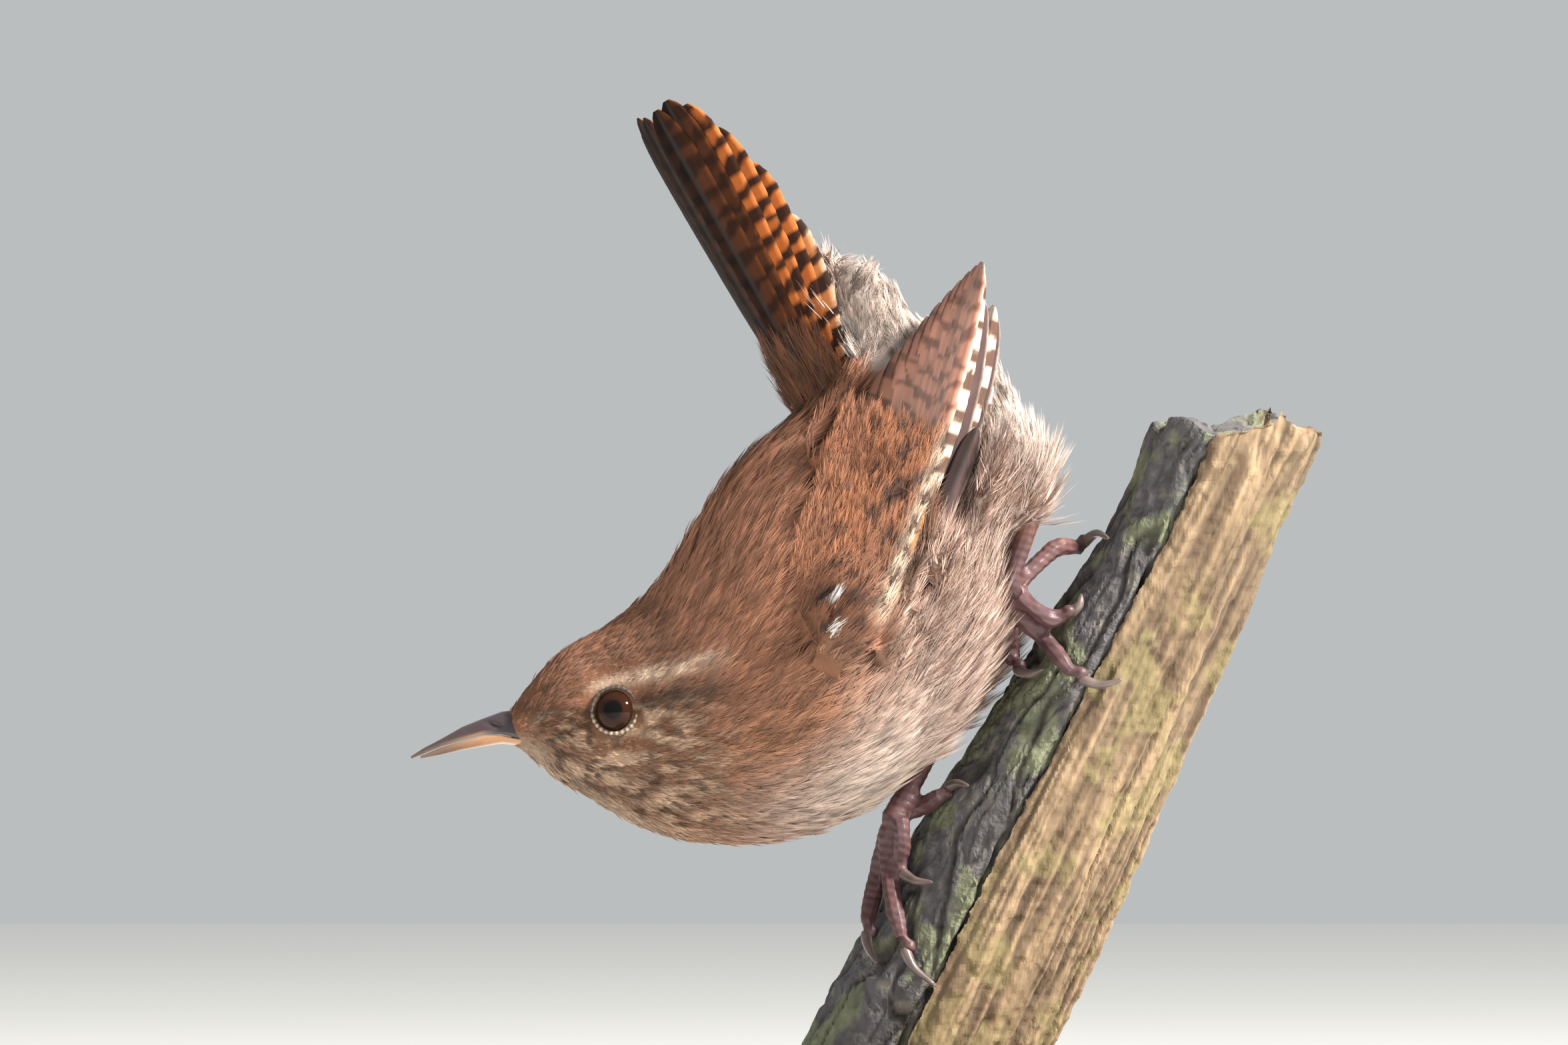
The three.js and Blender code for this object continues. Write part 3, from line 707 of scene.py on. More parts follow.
def coat_pieces(name, roots, barbs, kind):
    verts, faces, colours, spots = grow_coat(roots, barbs, kind)
    limit = (PIECE_LIMIT // (barbs * 4)) * barbs * 4
    for part, first in enumerate(range(0, len(faces), limit)):
        piece_faces = faces[first:first + limit]
        low, high = piece_faces.min(), piece_faces.max() + 1
        own_faces = piece_faces - low
        piece = mesh_object(f"{name}_{part}", verts[low:high], own_faces, colours[low:high], shade=False)
        add_bake_map(piece, piece_faces, spots)
        finish_piece(piece, stuff["coat"])


def lay_feathers(name, surface, count, s_span, t_span, h_span, place_on, lengths, lean=(0, 0, 0), face=None):
    """Soft feathers over stiff ones, with the body markings of the one place that place_on names."""
    s, t, h = (rng.uniform(*span, count) for span in (s_span, t_span, h_span))
    points = surface(s, t, h)
    run = unit(surface(s + 0.5, t, h) - points)
    if face is None:
        out = unit(surface(s, t, h + 0.5) - points)
    else:
        out = np.tile(unit(np.array(face)), (count, 1))
    way = unit(run + rng.normal(0, 0.07, points.shape) + np.array(lean))
    spot = np.column_stack([0.02 + 0.95 * (s - s_span[0]) / (s_span[1] - s_span[0]),
                            0.02 + 0.95 * (t - t_span[0]) / (t_span[1] - t_span[0])])
    roots = (points, out, np.full(count, place_on[0]), np.full(count, place_on[1]), way,
             rng.uniform(*lengths, count), spot)
    coat_pieces(name, roots, LAID_BARBS, "contour")


many = 13000
coat_pieces("coat", spread_roots(many, "contour"), COAT_BARBS, "contour")
coat_pieces("down", spread_roots(many // 6, "down"), DOWN_BARBS, "down")
print("feathers in the coat:", many)

# %% [markdown]
# Flight and tail feathers are stiff. A flat card with a picture would have no edge, so each is a thin closed
# plate bent over its shaft, nicked where barbs part, and painted by distance from the tip.

# %% Vanes
VANE_GRID = (64, 9)
VANE_HUMP = 0.16
SHAFT_HEIGHT = 0.1
SHAFT_WIDTH = 0.16


def vane(surface, root, tip, rise, width, tilt, bow, root_width, pattern, seed, thick=0.16, round_from=0.82):
    """One stiff feather from root to tip on a surface, its heights there in rise; all in mm."""
    rows, columns = VANE_GRID
    u = np.linspace(0, 1, rows)[:, None]
    q = np.linspace(-1, 1, columns)[None, :]
    fullness = root_width + (1 - root_width) * np.minimum(1, u * 2)
    end = np.clip((u - round_from) / (1 - round_from), 0, 1)
    half = 0.5 * width * fullness * np.sqrt(np.maximum(0.015, 1 - end ** 2))
    local = np.random.default_rng(seed)
    nick = 1 - 0.05 * local.random((rows, 1)) * (u > 0.3)
    across = q * half * np.where(np.abs(q) > 0.9, nick, 1)
    s = root[0] + (tip[0] - root[0]) * u + 0 * q
    t = root[1] + (tip[1] - root[1]) * u + bow * np.sin(np.pi * u) + across
    hump = VANE_HUMP * (1 - q ** 2) * np.minimum(1, 3 * (1 - u))
    h = rise[0] + (rise[1] - rise[0]) * u + tilt * q + hump
    shaft = SHAFT_HEIGHT * np.exp(-(across / SHAFT_WIDTH) ** 2) * (1 - 0.8 * u)
    top = surface(s, t, h + shaft)
    bottom = surface(s, t, h - thick)
    verts = np.concatenate([top.reshape(-1, 3), bottom.reshape(-1, 3)])
    faces = []
    size = rows * columns
    for i in range(rows - 1):
        for j in range(columns - 1):
            a = i * columns + j
            faces.append((a, a + 1, a + columns + 1, a + columns))
            faces.append((size + a, size + a + columns, size + a + columns + 1, size + a + 1))
    edge = list(range(columns)) + [i * columns + columns - 1 for i in range(1, rows)]
    edge += [size - 1 - i for i in range(1, columns)] + [i * columns for i in range(rows - 2, 0, -1)]
    for a, b in zip(edge, edge[1:] + edge[:1]):
        faces.append((a, a + size, b + size, b))
    length = math.dist(root, tip)
    from_tip = (1 - u) * length + 0 * q
    tones = pattern(from_tip, q + 0 * u, local)
    tones = np.where((np.abs(across) < 0.12)[..., None], tones * 0.5 + 0.02, tones)
    tones = tones.reshape(-1, 3)
    # The underside of each vane is a copy of its top, painted darker as shade.
    return verts, np.array(faces), np.concatenate([tones, tones * 0.8])


def gather(name, made, nodes):
    verts, faces, colours, first = [], [], [], 0
    for v, f, c in made:
        verts.append(v)
        faces.append(f + first)
        colours.append(c)
        first += len(v)
    thing = mesh_object(name, np.concatenate(verts), np.concatenate(faces), np.concatenate(colours))
    in_edit_mode(thing, bpy.ops.mesh.normals_make_consistent, inside=False)
    return finish_piece(thing, stuff["vane"], nodes)


print("rows and columns in a vane:", VANE_GRID)

# %% [markdown]
# Bars cross the vane, bent back from the shaft, and its outer edge is paler. On the real feather they are
# never quite regular, so noise moves and thins them.

# %% Bars on the vanes
def barred(ground, bar, edge, pitch, share, strength, edge_from, slant=0.5, grow=0.0):
    """Bars by pitch in mm, share of ground, strength and where the edge begins."""
    def pattern(from_tip, q, local):
        shape = from_tip.shape
        flat = np.stack([from_tip, q * 1.2, np.full(shape, 50 * local.random())], axis=-1).reshape(-1, 3)
        broken = noise(flat, 0.9, 81).reshape(shape)
        drift = noise(flat, (5.0, 9, 1), 84).reshape(shape)
        streaks = noise(flat, (4.0, 0.16, 1.0), 82).reshape(shape)
        dashes = 0.6 + 0.4 * smooth(noise(flat, (0.8, 9, 1), 83).reshape(shape), 0.35, 0.6)
        start = 0.8 * 7.8 * local.random()
        turn = start + 3.4 * (broken - 0.5) + 3.0 * (drift - 0.5)
        wave = 0.5 + 0.5 * np.sin(2 * np.pi * (from_tip + slant * np.abs(q)) / pitch + turn)
        own_ground = np.array(ground) * local.uniform(0.88, 1.1)
        near_tip = (1 - smooth(from_tip, 1, 6)) * (1 - smooth(q, 0.2, 0.9))
        tones = mix(own_ground, edge, smooth(q, edge_from, edge_from + 0.12) * dashes * 0.8)
        tones = mix(tones, bar, smooth(wave * (0.55 + 0.9 * broken), share, share + 0.22) * strength)
        tones = mix(tones, np.array(bar) * 1.4, near_tip * 0.6)
        # Up to grow across the vane, where it slips under its neighbour, it is darkened as painted shade.
        tones = tones * (0.3 + 0.7 * smooth(q, grow, grow + 0.3))[..., None]
        return tones * (0.8 + 0.4 * streaks)[..., None]
    return pattern


TAWNY = (0.46, 0.225, 0.165)
UMBER = (0.06, 0.033, 0.028)
BLOCK_WHITE = (0.6, 0.49, 0.39)
secondary_look = barred(TAWNY, UMBER, (0.66, 0.52, 0.44), 2.6, 0.62, 0.62, 0.84, grow=0.6)
tertial_look = barred((0.36, 0.17, 0.11), UMBER, (0.42, 0.26, 0.16), 3.2, 0.6, 0.7, 0.86)
block_look = barred(BLOCK_WHITE, (0.075, 0.04, 0.03), BLOCK_WHITE, 3.0, 0.42, 0.97, 0.9, slant=0.0)
plain_look = barred((0.07, 0.044, 0.042), (0.05, 0.032, 0.03), (0.42, 0.34, 0.3), 3.0, 0.6, 0.3, 0.88)
covert_look = barred((0.33, 0.15, 0.058), UMBER, (0.36, 0.18, 0.08), 2.2, 0.66, 0.8, 0.9)
# The middle and far tail feathers are painted dark as shade, the near ones bright as lit by the sun; their
# bars are their own.
shaded_tail_look = barred((0.06, 0.021, 0.01), (0.014, 0.007, 0.005), (0.15, 0.045, 0.014), 2.6, 0.45, 0.8, 0.75)
sunlit_tail_look = barred((0.32, 0.085, 0.02), (0.018, 0.008, 0.006), (0.4, 0.14, 0.045), 2.7, 0.34, 0.97, 0.8,
                     grow=0.1)
outer_tail = barred((0.36, 0.13, 0.045), (0.02, 0.01, 0.008), (0.48, 0.36, 0.27), 2.9, 0.36, 0.97, 0.75)
print("ground of the secondaries:", TAWNY)

# %% [markdown]
# The folded wing is a stack of primaries, secondaries and coverts. They follow the surface of the CAD wing,
# which keeps its size, and soft feathers cover the coverts and the flank beside them.

# %% Wings
def wing_surface(side):
    """Places on one folded wing by s along it, t across it and h outward, in mm."""
    def surface(s, t, h):
        x = WING_ROOT[0] + WING_AXIS[0] * s + WING_AXIS[1] * t
        z = WING_ROOT[1] + WING_AXIS[1] * s - WING_AXIS[0] * t
        out = 12.0 + (4.8 - 12.0) * smooth(s, -8, 48) - 0.03 * (t + 2) ** 2
        return np.stack([x, side * (out + h), z], axis=-1)
    return surface


TIPS = [(22.5, -6.6), (25, -5.9), (27.3, -5.1), (29.4, -4.4), (31.3, -3.6), (33.0, -2.9), (34.5, -2.25),
        (35.8, -1.65), (36.9, -1.1), (37.7, -0.65), (38.2, -0.3)]
TERTIALS = 3
COVERT_VANES = 8
# each row: root, tip, width, bow, height and look of one primary's edge
OUTER = [((8, 1.9), (38.2, -0.35), 2.5, 0.95, 1.55, block_look),
         ((8, 2.8), (34.5, 1.2), 2.4, 0.9, 1.25, plain_look),
         ((10, 3.1), (34.5, 2.2), 2.4, 0.7, 0.95, block_look),
         ((10, 3.6), (33.5, 2.8), 2.4, 0.7, 0.65, plain_look),
         ((10, 4.2), (30.5, 3.4), 2.2, 0.6, 0.35, block_look)]


def primaries(surface):
    made = [vane(surface, root, tip, (high, high - 0.2), width, -0.12, bow, 0.6, look, 100 + i,
                 round_from=0.72)
            for i, (root, tip, width, bow, high, look) in enumerate(OUTER)]
    made.append(vane(surface, (0.0, 2.5), (22.5, 4.6), (2.0, 1.4), 2.2, -0.2, 0.3, 0.5, plain_look, 120))
    return made


def secondaries(surface):
    made = []
    for i, (end, across) in enumerate(TIPS):
        inner = i < TERTIALS
        rise = (2.45 - i * 0.06, 2.3 - i * 0.06)
        made.append(vane(surface, (6.5, across * 0.75 + 1.0), (end, across), rise,
                         4.4 - 0.4 * i if inner else 3.1, -0.16, 0.25, 0.5,
                         tertial_look if inner else secondary_look, 200 + i, round_from=0.6))
    return made


def covert_vanes(surface):
    made = []
    for i in range(COVERT_VANES):
        t = -7.6 + i * 1.25
        made.append(vane(surface, (4 - 0.2 * i, t * 0.7 - 0.4), (16.5 - 0.25 * i, t), (1.9, 2.75 - i * 0.03),
                         3.4, -0.12, 0, 0.5, covert_look, 300 + i, round_from=0.65))
    return made


for side, word in ((-1, "left"), (1, "right")):
    surface = wing_surface(side)
    gather(f"primaries_{word}", primaries(surface), [f"wing_{word}_primaries"])
    gather(f"secondaries_{word}", secondaries(surface), [f"wing_{word}_secondaries"])
    gather(f"wing_coverts_{word}", covert_vanes(surface), [f"wing_{word}_coverts"])
    lay_feathers(f"laid_coverts_{word}", surface, many // 8, s_span=(2, 19), t_span=(-8.8, 1.8),
                 h_span=(2.0, 2.9), place_on=(0.6, 0.8), lengths=(2.0, 3.0))
    lay_feathers(f"flank_{word}", surface, many // 26, s_span=(4, 21), t_span=(4.0, 6.2),
                 h_span=(-2.0, -0.5), place_on=(0.76, 0.42), lengths=(2.6, 3.8), lean=(0.1, 0, 0))
print("vanes in each wing:", len(OUTER) + 1 + len(TIPS) + COVERT_VANES)

# %% [markdown]
# The tail is cocked and rolled toward the viewer. Twelve feathers lie like roof tiles, each outer one
# shorter and lower, and soft feathers cover their roots above and below.

# %% Tail
TAIL_LENGTH = 32.4
TAIL_REACH = [1, 1.01, 0.97, 0.87, 0.73, 0.54]
TAIL_FAN = [1.2, 2.8, 4.2, 5.2, 6.0, 6.2]


def tail_surface(s, t, h):
    h = h - 0.04 * t * t
    return TAIL_BASE + s[..., None] * tail_axis + t[..., None] * tail_side + h[..., None] * tail_up


made = []
for side in (-1, 1):
    for i, (reach, fan) in enumerate(zip(TAIL_REACH, TAIL_FAN)):
        # Middle and far feathers take the look painted with shade, near ones the one painted with light.
        look = outer_tail if side * i == 5 else sunlit_tail_look if side * i >= 2 else shaded_tail_look
        near_lift = 0.08 if side > 0 else 0
        made.append(vane(tail_surface, (-1.5, side * (0.5 + 0.4 * i)), (TAIL_LENGTH * reach, side * fan),
                         (0.6 - 0.2 * i, 0.65 - 0.24 * i + near_lift), 4.3, -0.1 * side,
                         side * (0.3 + 0.14 * i), 0.7, look, 400 + i + 10 * side))
gather("tail_vanes", made, ["tail"])
lay_feathers("uppertail", tail_surface, many // 40, s_span=(-3, 3.5), t_span=(-3.5, 5.0), h_span=(0.6, 1.1),
             place_on=(0.8, 0.9), lengths=(3.2, 4.6))
lay_feathers("undertail", tail_surface, many // 26, s_span=(-2.5, 8.5), t_span=(4.2, 6.6),
             h_span=(-3.2, -0.6), place_on=(0.97, 0.4), lengths=(3.0, 4.4), lean=(0.3, 0, 0),
             face=(0.35, -0.9, 0.2))
lay_feathers("vent_fluff", tail_surface, many // 24, s_span=(-2.5, 7.5), t_span=(-3.5, 6.5),
             h_span=(-5.5, -0.9), place_on=(0.97, 0.4), lengths=(3.2, 4.6), lean=(0.25, 0, 0),
             face=(0.7, -0.3, 0.4))
print("vanes in the tail:", len(made))

# %% [markdown]
# The eye is a nearly black brown ball under a clear wet coat, ringed by a beaded lid. A sphere is right for
# the ball, and a wave round the CAD lid raises the beads.

# %% Eyes and lids
EYE_RADIUS = 2.27
IRIS = (0.022, 0.008, 0.004)
PUPIL = (0.003, 0.003, 0.003)
LID_DARK = (0.05, 0.034, 0.025)
LID_PALE = (0.44, 0.36, 0.26)
LID_BEADS = 26
for word, centre, outward in (("left", EYES[0], EYE_OUT[0]), ("right", EYES[1], EYE_OUT[1])):
    bpy.ops.mesh.primitive_uv_sphere_add(segments=64, ring_count=32, radius=EYE_RADIUS * MM)
    eye = bpy.context.object
    eye.name = f"eyeball_{word}"
    place(eye, positions(eye) + centre)
    eye.data.polygons.foreach_set("use_smooth", np.ones(len(eye.data.polygons), bool))
    facing = unit(positions(eye) - centre) @ outward
    paint(eye.data, mix(IRIS, PUPIL, smooth(facing, 0.88, 0.93)))
    finish_piece(eye, stuff["eye"], [f"eye_{word}"])
    lid = copies_of([f"lids_{word}"], f"lid_{word}")
    modify(lid, "SUBSURF", levels=2)
    p = positions(lid)
    spoke = unit(p - centre - np.outer((p - centre) @ outward, outward))
    e1 = unit(np.cross(outward, [0, 0, 1.0]))
    angle = np.arctan2(spoke @ np.cross(outward, e1), spoke @ e1)
    bead = 0.5 + 0.5 * np.cos(LID_BEADS * angle)
    place(lid, p + normals(lid) * (0.05 * bead - 0.09)[:, None])
    low = smooth(centre[2] - p[:, 2], -0.4, 1.2)
    paint(lid.data, mix(LID_DARK, LID_PALE, bead * (0.05 + 0.95 * low)))
    finish_piece(lid, stuff["lid"], [f"lids_{word}"])
print("eyes of", 2 * EYE_RADIUS, "mm")

# %% [markdown]
# The bill is two halves of horn, the upper one longer and darker. Each is a row of half rings whose heights
# come from the CAD sections, with a small pit for the nostril.

# %% Bill
BILL_X = [-40.6, -42.6, -43.9, -45.8, -47.8, -50.0, -51.7, -52.95]
BILL_TOP = [55.6, 55.5, 55.35, 54.65, 53.85, 52.6, 51.7, 50.9]
BILL_MOUTH = [52.4, 52.75, 53.05, 52.95, 52.45, 51.8, 51.1, 50.6]
BILL_LOW = [51.9, 52.0, 52.15, 51.85, 51.5, 51.0, 50.7, 50.4]
BILL_HALF = [2.0, 1.9, 1.75, 1.4, 1.1, 0.78, 0.46, 0.08]
BILL_TIP = {True: -52.95, False: -52.0}
NOSTRIL = (-44.6, 54.0)
HORN_DARK = (0.042, 0.029, 0.034)
HORN_PALE = (0.4, 0.2, 0.09)
HORN_RIM = (0.5, 0.29, 0.16)
HORN_TIP = (0.055, 0.038, 0.036)
PIT = (0.02, 0.014, 0.014)


def bill_half(upper):
    steps, ring = 90, 25
    x = np.linspace(BILL_X[0], BILL_TIP[upper], steps)
    top, mouth, low, half = (np.interp(-x, -np.array(BILL_X), row)
                             for row in (BILL_TOP, BILL_MOUTH, BILL_LOW, BILL_HALF))
    angle = np.linspace(0, math.pi, ring)
    edge = mouth + (0.05 if upper else -0.05)
    far = top if upper else low
    arc = np.sin(angle)[None, :] ** 0.85
    y = -half[:, None] * np.cos(angle)[None, :] * (1 - 0.18 * arc ** 3)
    z = edge[:, None] + (far - edge)[:, None] * arc
    past_pit = x[:, None] - NOSTRIL[0]
    pit = np.exp(-(past_pit / 0.75) ** 2 - ((z - NOSTRIL[1] + 0.3 * past_pit) / 0.22) ** 2)
    y = y - np.sign(y) * 0.42 * pit * upper
    verts = np.stack([x[:, None] + 0 * y, y, z], axis=-1).reshape(-1, 3)
    faces = []
    for i in range(steps - 1):
        for j in range(ring):
            k = (j + 1) % ring
            faces.append((i * ring + j, i * ring + k, (i + 1) * ring + k))
            faces.append((i * ring + j, (i + 1) * ring + k, (i + 1) * ring + j))
    for first in (0, (steps - 1) * ring):
        faces += [(first, first + j, first + j + 1) for j in range(1, ring - 1)]
    out_along = -verts[:, 0]
    off_mouth = np.abs(verts[:, 2] - np.repeat(mouth, ring))
    rim = smooth(0.55 - off_mouth, 0.0, 0.35) * smooth(out_along, 44, 46.5)
    horn = mix(HORN_DARK if upper else HORN_PALE, HORN_RIM, rim * (0.6 if upper else 0.3))
    horn = mix(horn, HORN_TIP, smooth(out_along, 44.0, 50.5) * 0.8)
    horn = mix(horn, PIT, pit.ravel() * upper)
    thing = mesh_object(f"horn_{'upper' if upper else 'lower'}", verts, faces, horn)
    in_edit_mode(thing, bpy.ops.mesh.normals_make_consistent, inside=False)
    return thing


for word in ("upper", "lower"):
    finish_piece(bill_half(word == "upper"), stuff["horn"], [f"bill_{word}"])
print("bill in mm:", BILL_X[0] - BILL_TIP[True])

# %% [markdown]
# Each leg is one scaled sleeve of skin. The CAD toes have fine gaps, so copies are swollen, filled at ankle
# and claws, and closed into one skin, with scutes raised by a wave.

# %% Legs
TOES = ("hallux", "outer", "middle", "inner")
ANKLES = {"left": np.array([7.1, -3.4, 66.8]), "right": np.array([-4.5, 3.9, 44.7])}
SHANK_FROM = {"left": (71, 75), "right": (48, 51)}
ANKLE_RADIUS = 1.35
PAD_RADIUS = 0.62
LEG_SWELL = 0.42
LEG_DRAW = 0.36
LEG_VOXEL = 0.18
SCUTE_WAY = unit(np.array([0.35, 0.0, 1.0]))
SCUTE_PITCH = 0.8
GROOVE = (0.034, 0.016, 0.017)
SCUTE = (0.088, 0.042, 0.043)
SHANK_SKIN = (0.22, 0.085, 0.045)
TOE_GREY = (0.075, 0.042, 0.05)
for word in ("left", "right"):
    parts = [f"tarsus_{word}"] + [f"toe_{word}_{toe}" for toe in TOES]
    fills = [ball(f"ankle_{word}", ANKLES[word], ANKLE_RADIUS)]
    for toe in TOES:
        toe_points = positions(frame["nodes"][f"toe_{word}_{toe}"])
        claw_points = positions(frame["nodes"][f"claw_{word}_{toe}"])
        away = np.linalg.norm(claw_points[:, None] - toe_points[None], axis=2).min(axis=1)
        fills.append(ball(f"pad_{word}_{toe}", claw_points[np.argsort(away)[:6]].mean(axis=0), PAD_RADIUS))
    leg = joined([copies_of(parts, f"leg_{word}")] + fills)
    swell(leg, LEG_SWELL)
    even_mesh(leg, LEG_VOXEL, 6)
    swell(leg, -LEG_DRAW)
    modify(leg, "SMOOTH", factor=0.5, iterations=3)
    p = positions(leg)
    wave = 0.5 + 0.5 * np.sin((p @ SCUTE_WAY + 0.5 * noise(p, 2.0, 12)) * 2 * np.pi / SCUTE_PITCH)
    knuckle = noise(p, 1.3, 14) - 0.5
    place(leg, p + normals(leg) * (0.045 * wave + 0.14 * knuckle)[:, None])
    tone = mix(GROOVE, SCUTE, 0.6 + 0.4 * wave)
    tone = mix(tone, SHANK_SKIN, smooth(p[:, 2], *SHANK_FROM[word]) * 0.5)
    tone = mix(tone, TOE_GREY, smooth(noise(p, 2.2, 15), 0.5, 0.75) * 0.6)
    paint(leg.data, tone * (0.75 + 0.5 * noise(p, 0.5, 11))[:, None])
    finish_piece(leg, stuff["leg_scales"], parts)
    print(leg.name, "has", len(p), "corners")

# %% [markdown]
# The claws are dark and polished. Their CAD solids have the right curve, so a subdivision rounds them, and
# a little swelling makes up for what it takes away.

# %% Claws
CLAW_HORN = (0.105, 0.078, 0.07)
CLAW_SWELL = 0.14
claws = [name for name in sorted(frame["nodes"]) if name.startswith("claw_")]
for name in claws:
    claw = copies_of([name], f"horn_{name}")
    modify(claw, "SUBSURF", levels=2)
    p = positions(claw)
    swell(claw, CLAW_SWELL)
    paint(claw.data, np.outer(0.6 + 0.8 * noise(p, 1.0, 4), CLAW_HORN))
    finish_piece(claw, stuff["horn"], [name])
print("claws:", len(claws))

# %% [markdown]
# The bark is dark and cracked, with lichen. Cracks as a bump alone would leave the outline smooth, so the
# CAD solid becomes a mesh fine enough to carry them.

# %% Bark
BRANCH_WAY = unit(np.array([0.44, -0.153, 0.885]))
KNOT = (8.2, 36.5)
BARK_GREY = (0.086, 0.082, 0.086)
CRACK_DARK = (0.022, 0.019, 0.016)
BARK_PALE = (0.2, 0.185, 0.155)
LICHEN = (0.17, 0.19, 0.1)
KNOT_BROWN = (0.18, 0.1, 0.05)
bark = copies_of(["perch_bark"], "bark_shell")
even_mesh(bark, 0.4, 2)
p = positions(bark)
flow = p - np.outer(p @ BRANCH_WAY, BRANCH_WAY) * 0.72
warp = np.column_stack([noise(p, 4, k) for k in (1, 2, 3)]) * 2.0
fissure = np.abs(noise(flow + warp, 2.4, 40) - 0.5) * 2
fissure_small = np.abs(noise(flow + warp, 1.1, 41) - 0.5) * 2
crack = (1 - smooth(fissure, 0.0, 0.22)) * 0.75 + (1 - smooth(fissure_small, 0.0, 0.2)) * 0.35
plate = noise(p, 1.4, 42) - 0.5
knot = np.exp(-((p[:, 0] - KNOT[0]) / 2.0) ** 2 - ((p[:, 2] - KNOT[1]) / 2.4) ** 2) * (p[:, 1] < 6)
above_cut = smooth(p[:, 2], 16, 18)
place(bark, p + normals(bark) * ((0.45 * plate - 0.55 * crack - 0.05) * above_cut - 1.4 * knot)[:, None])
crack = np.clip(crack, 0, 1)
lichen = smooth(noise(p, 3.2, 50) + 0.35 * (noise(p, 0.8, 51) - 0.5), 0.54, 0.68) * (1 - crack)
tone = mix(BARK_GREY, CRACK_DARK, crack)
tone = mix(tone, BARK_PALE, smooth(noise(p, 1.0, 44), 0.6, 0.85) * (1 - crack) * 0.6)
tone = mix(tone, LICHEN, lichen * 0.6)
tone = mix(tone, KNOT_BROWN, smooth(knot, 0.3, 0.6))
paint(bark.data, tone * (0.75 + 0.5 * noise(p, 0.6, 45))[:, None])
finish_piece(bark, stuff["bark"], ["perch_bark"])
print("corners of the bark:", len(p))

# %% [markdown]
# The branch's other side is split, with pale fibres. Noise stretched far along the branch makes fibres and
# gashes, and the broken top is rough instead.

# %% Split wood
WOOD_DARK = (0.085, 0.056, 0.034)
WOOD_PALE = (0.27, 0.19, 0.115)
GASH_DARK = (0.045, 0.03, 0.02)
MOSS = (0.2, 0.17, 0.075)
WOOD_BROWN = (0.16, 0.11, 0.065)
wood = copies_of(["perch_wood"], "split_face")
even_mesh(wood, 0.34, 8)
p = positions(wood)
flow = p - np.outer(p @ BRANCH_WAY, BRANCH_WAY) * 0.97
fibre = noise(flow, 0.8, 60) * 0.4 + noise(flow, 0.34, 61) * 0.6
split = np.abs(noise(flow, 2.2, 62) - 0.5) * 2
gash = 1 - smooth(split, 0.0, 0.32)
top = smooth(p[:, 2], 79, 84)
rough = (noise(p, 1.6, 67) - 0.5) * (0.35 + 0.8 * top) + (noise(p, 0.7, 68) - 0.5) * 0.22
place(wood, p + normals(wood) * ((0.3 * (fibre - 0.6) - 0.4 * gash) * (1 - 0.9 * top) + rough)[:, None])
moss = smooth(noise(p, 5.0, 63) + 0.4 * (noise(p, 0.9, 64) - 0.5), 0.6, 0.74)
tone = mix(WOOD_DARK, WOOD_PALE, smooth(fibre, 0.25, 0.75))
tone = mix(tone, GASH_DARK, gash * 0.6)
tone = mix(tone, MOSS, moss * 0.45)
tone = mix(tone, WOOD_BROWN, smooth(noise(p, (4, 4, 9), 65), 0.65, 0.9) * 0.5)
paint(wood.data, tone * (0.8 + 0.4 * noise(flow, 0.5, 66))[:, None])
finish_piece(wood, stuff["split_wood"], ["perch_wood"])
print("corners of the wood:", len(p))

# %% [markdown]
# The stand is a turned, stained disc and two brushed rods in the foot of the branch. Its CAD solids are
# kept as they are and given better finishes.

# %% Stand
STAIN_DARK = (0.075, 0.034, 0.016, 1)
STAIN_PALE = (0.2, 0.1, 0.045, 1)
STEEL = (0.55, 0.55, 0.53, 1)
timber = Surface("stand_timber", 0.38, Specular_IOR_Level=0.5)
rings = timber.grain(90, (1, 0.08, 1), 6.0)
stain = timber.node("ShaderNodeMix", out=2, settings={"data_type": "RGBA"}, Factor=rings)
stain.node.inputs[6].default_value = STAIN_DARK
stain.node.inputs[7].default_value = STAIN_PALE
timber.colour(stain)
timber.relief(rings, 0.12, 0.2)
steel = Surface("stand_steel", 0.3, Metallic=1.0, Base_Color=STEEL)
steel.relief(steel.grain(3000, (1, 1, 0.05)), 0.1, 0.1)
for name, finish in (("stand_base", timber), ("stand_rod_1", steel), ("stand_rod_2", steel)):
    kept = frame["nodes"][name]
    kept.data.materials.clear()
    kept.data.materials.append(finish.material)
    print(name, "has the finish", finish.material.name)

# %% [markdown]
# The photograph has low sun from the upper right and open sky. One warm, small light stands there, unseen
# in the eye, a broad cool fill stands behind the camera, and a pale world lights the rest.

# %% Light
SUBJECT = Vector((-0.012, 0, 0.07))
WORLD_COLOUR = (0.8, 0.83, 0.84, 1)
WORLD_STRENGTH = 0.62


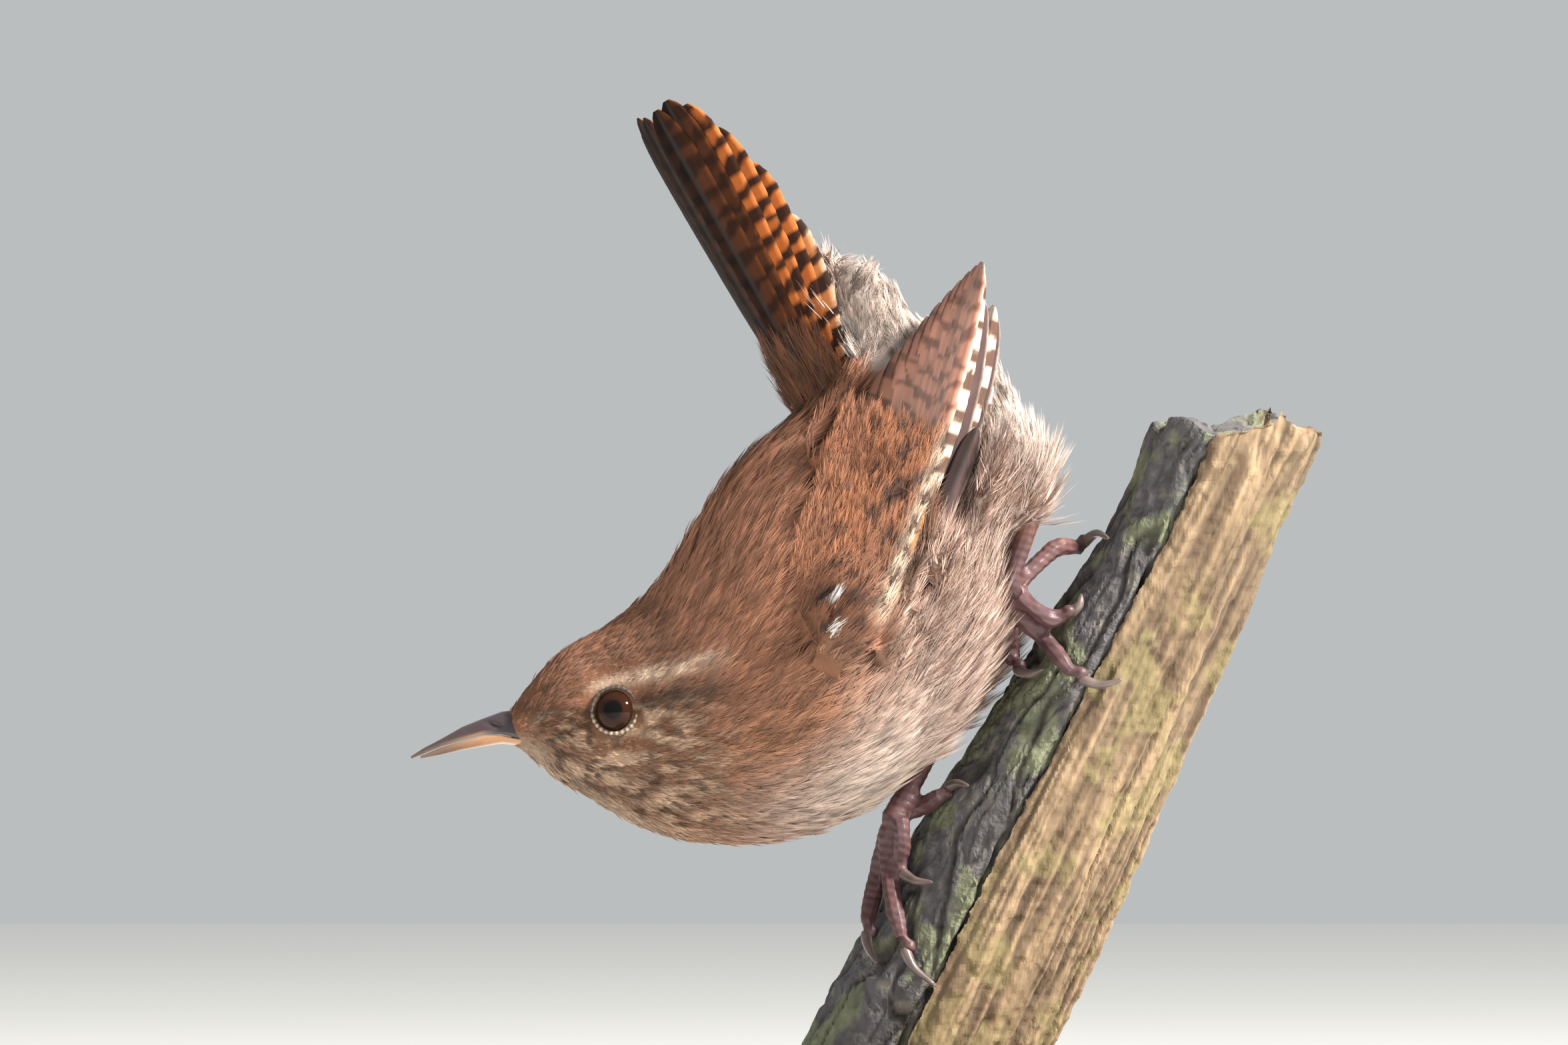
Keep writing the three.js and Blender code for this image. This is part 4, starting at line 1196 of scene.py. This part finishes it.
def area_light(name, toward, distance, size, watts, colour):
    light = bpy.data.lights.new(name, "AREA")
    light.size = size
    light.energy = watts
    light.color = colour
    lamp = bpy.data.objects.new(name, light)
    link(lamp)
    way = Vector(toward).normalized()
    lamp.location = SUBJECT + way * distance
    lamp.rotation_euler = way.to_track_quat("Z", "Y").to_euler()
    lamp.visible_glossy = colour[2] < 0.9
    print(name, "stands at", [round(c, 2) for c in lamp.location])


area_light("sun_side", (0.7, -0.34, 0.64), distance=1.0, size=0.12, watts=42, colour=(1.0, 0.95, 0.88))
area_light("sky_fill", (-0.75, -0.9, 0.45), distance=1.2, size=1.0, watts=3.0, colour=(0.86, 0.93, 1.0))
world = bpy.data.worlds.new("pale")
world.use_nodes = True
world.node_tree.nodes["Background"].inputs[0].default_value = WORLD_COLOUR
world.node_tree.nodes["Background"].inputs[1].default_value = WORLD_STRENGTH
bpy.context.scene.world = world

# %% [markdown]
# The floor is a plain pale plane. The camera is level and far away, so that the side view keeps its
# proportions, and its lens follows from the width that it shows at the bird.

# %% Floor and camera
CAMERA_AWAY = 2.0
VIEW_WIDTH = 0.1568
SENSOR = 36
bpy.ops.mesh.primitive_plane_add(size=3.4)
floor = bpy.context.object
floor.name = "floor"
floor_finish = Surface("pale_floor", 0.85, Base_Color=(0.78, 0.78, 0.76, 1))
floor.data.materials.append(floor_finish.material)

camera_data = bpy.data.cameras.new("side")
camera_data.sensor_width = SENSOR
camera_data.lens = SENSOR * CAMERA_AWAY / VIEW_WIDTH
camera_data.clip_end = 50
camera = bpy.data.objects.new("side", camera_data)
camera.location = (-0.01567, -CAMERA_AWAY, 0.07427)
camera.rotation_euler = (math.radians(90), 0, 0)
link(camera)
bpy.context.scene.camera = camera
bpy.context.scene.view_settings.view_transform = "Standard"
print("lens in mm:", round(camera_data.lens, 1))

# %% Finish
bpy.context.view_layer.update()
shown = [thing.data for thing in bpy.data.objects if thing.type == "MESH" and not thing.hide_render]
print("triangles in all:", sum(len(face.vertices) - 2 for mesh in shown for face in mesh.polygons))
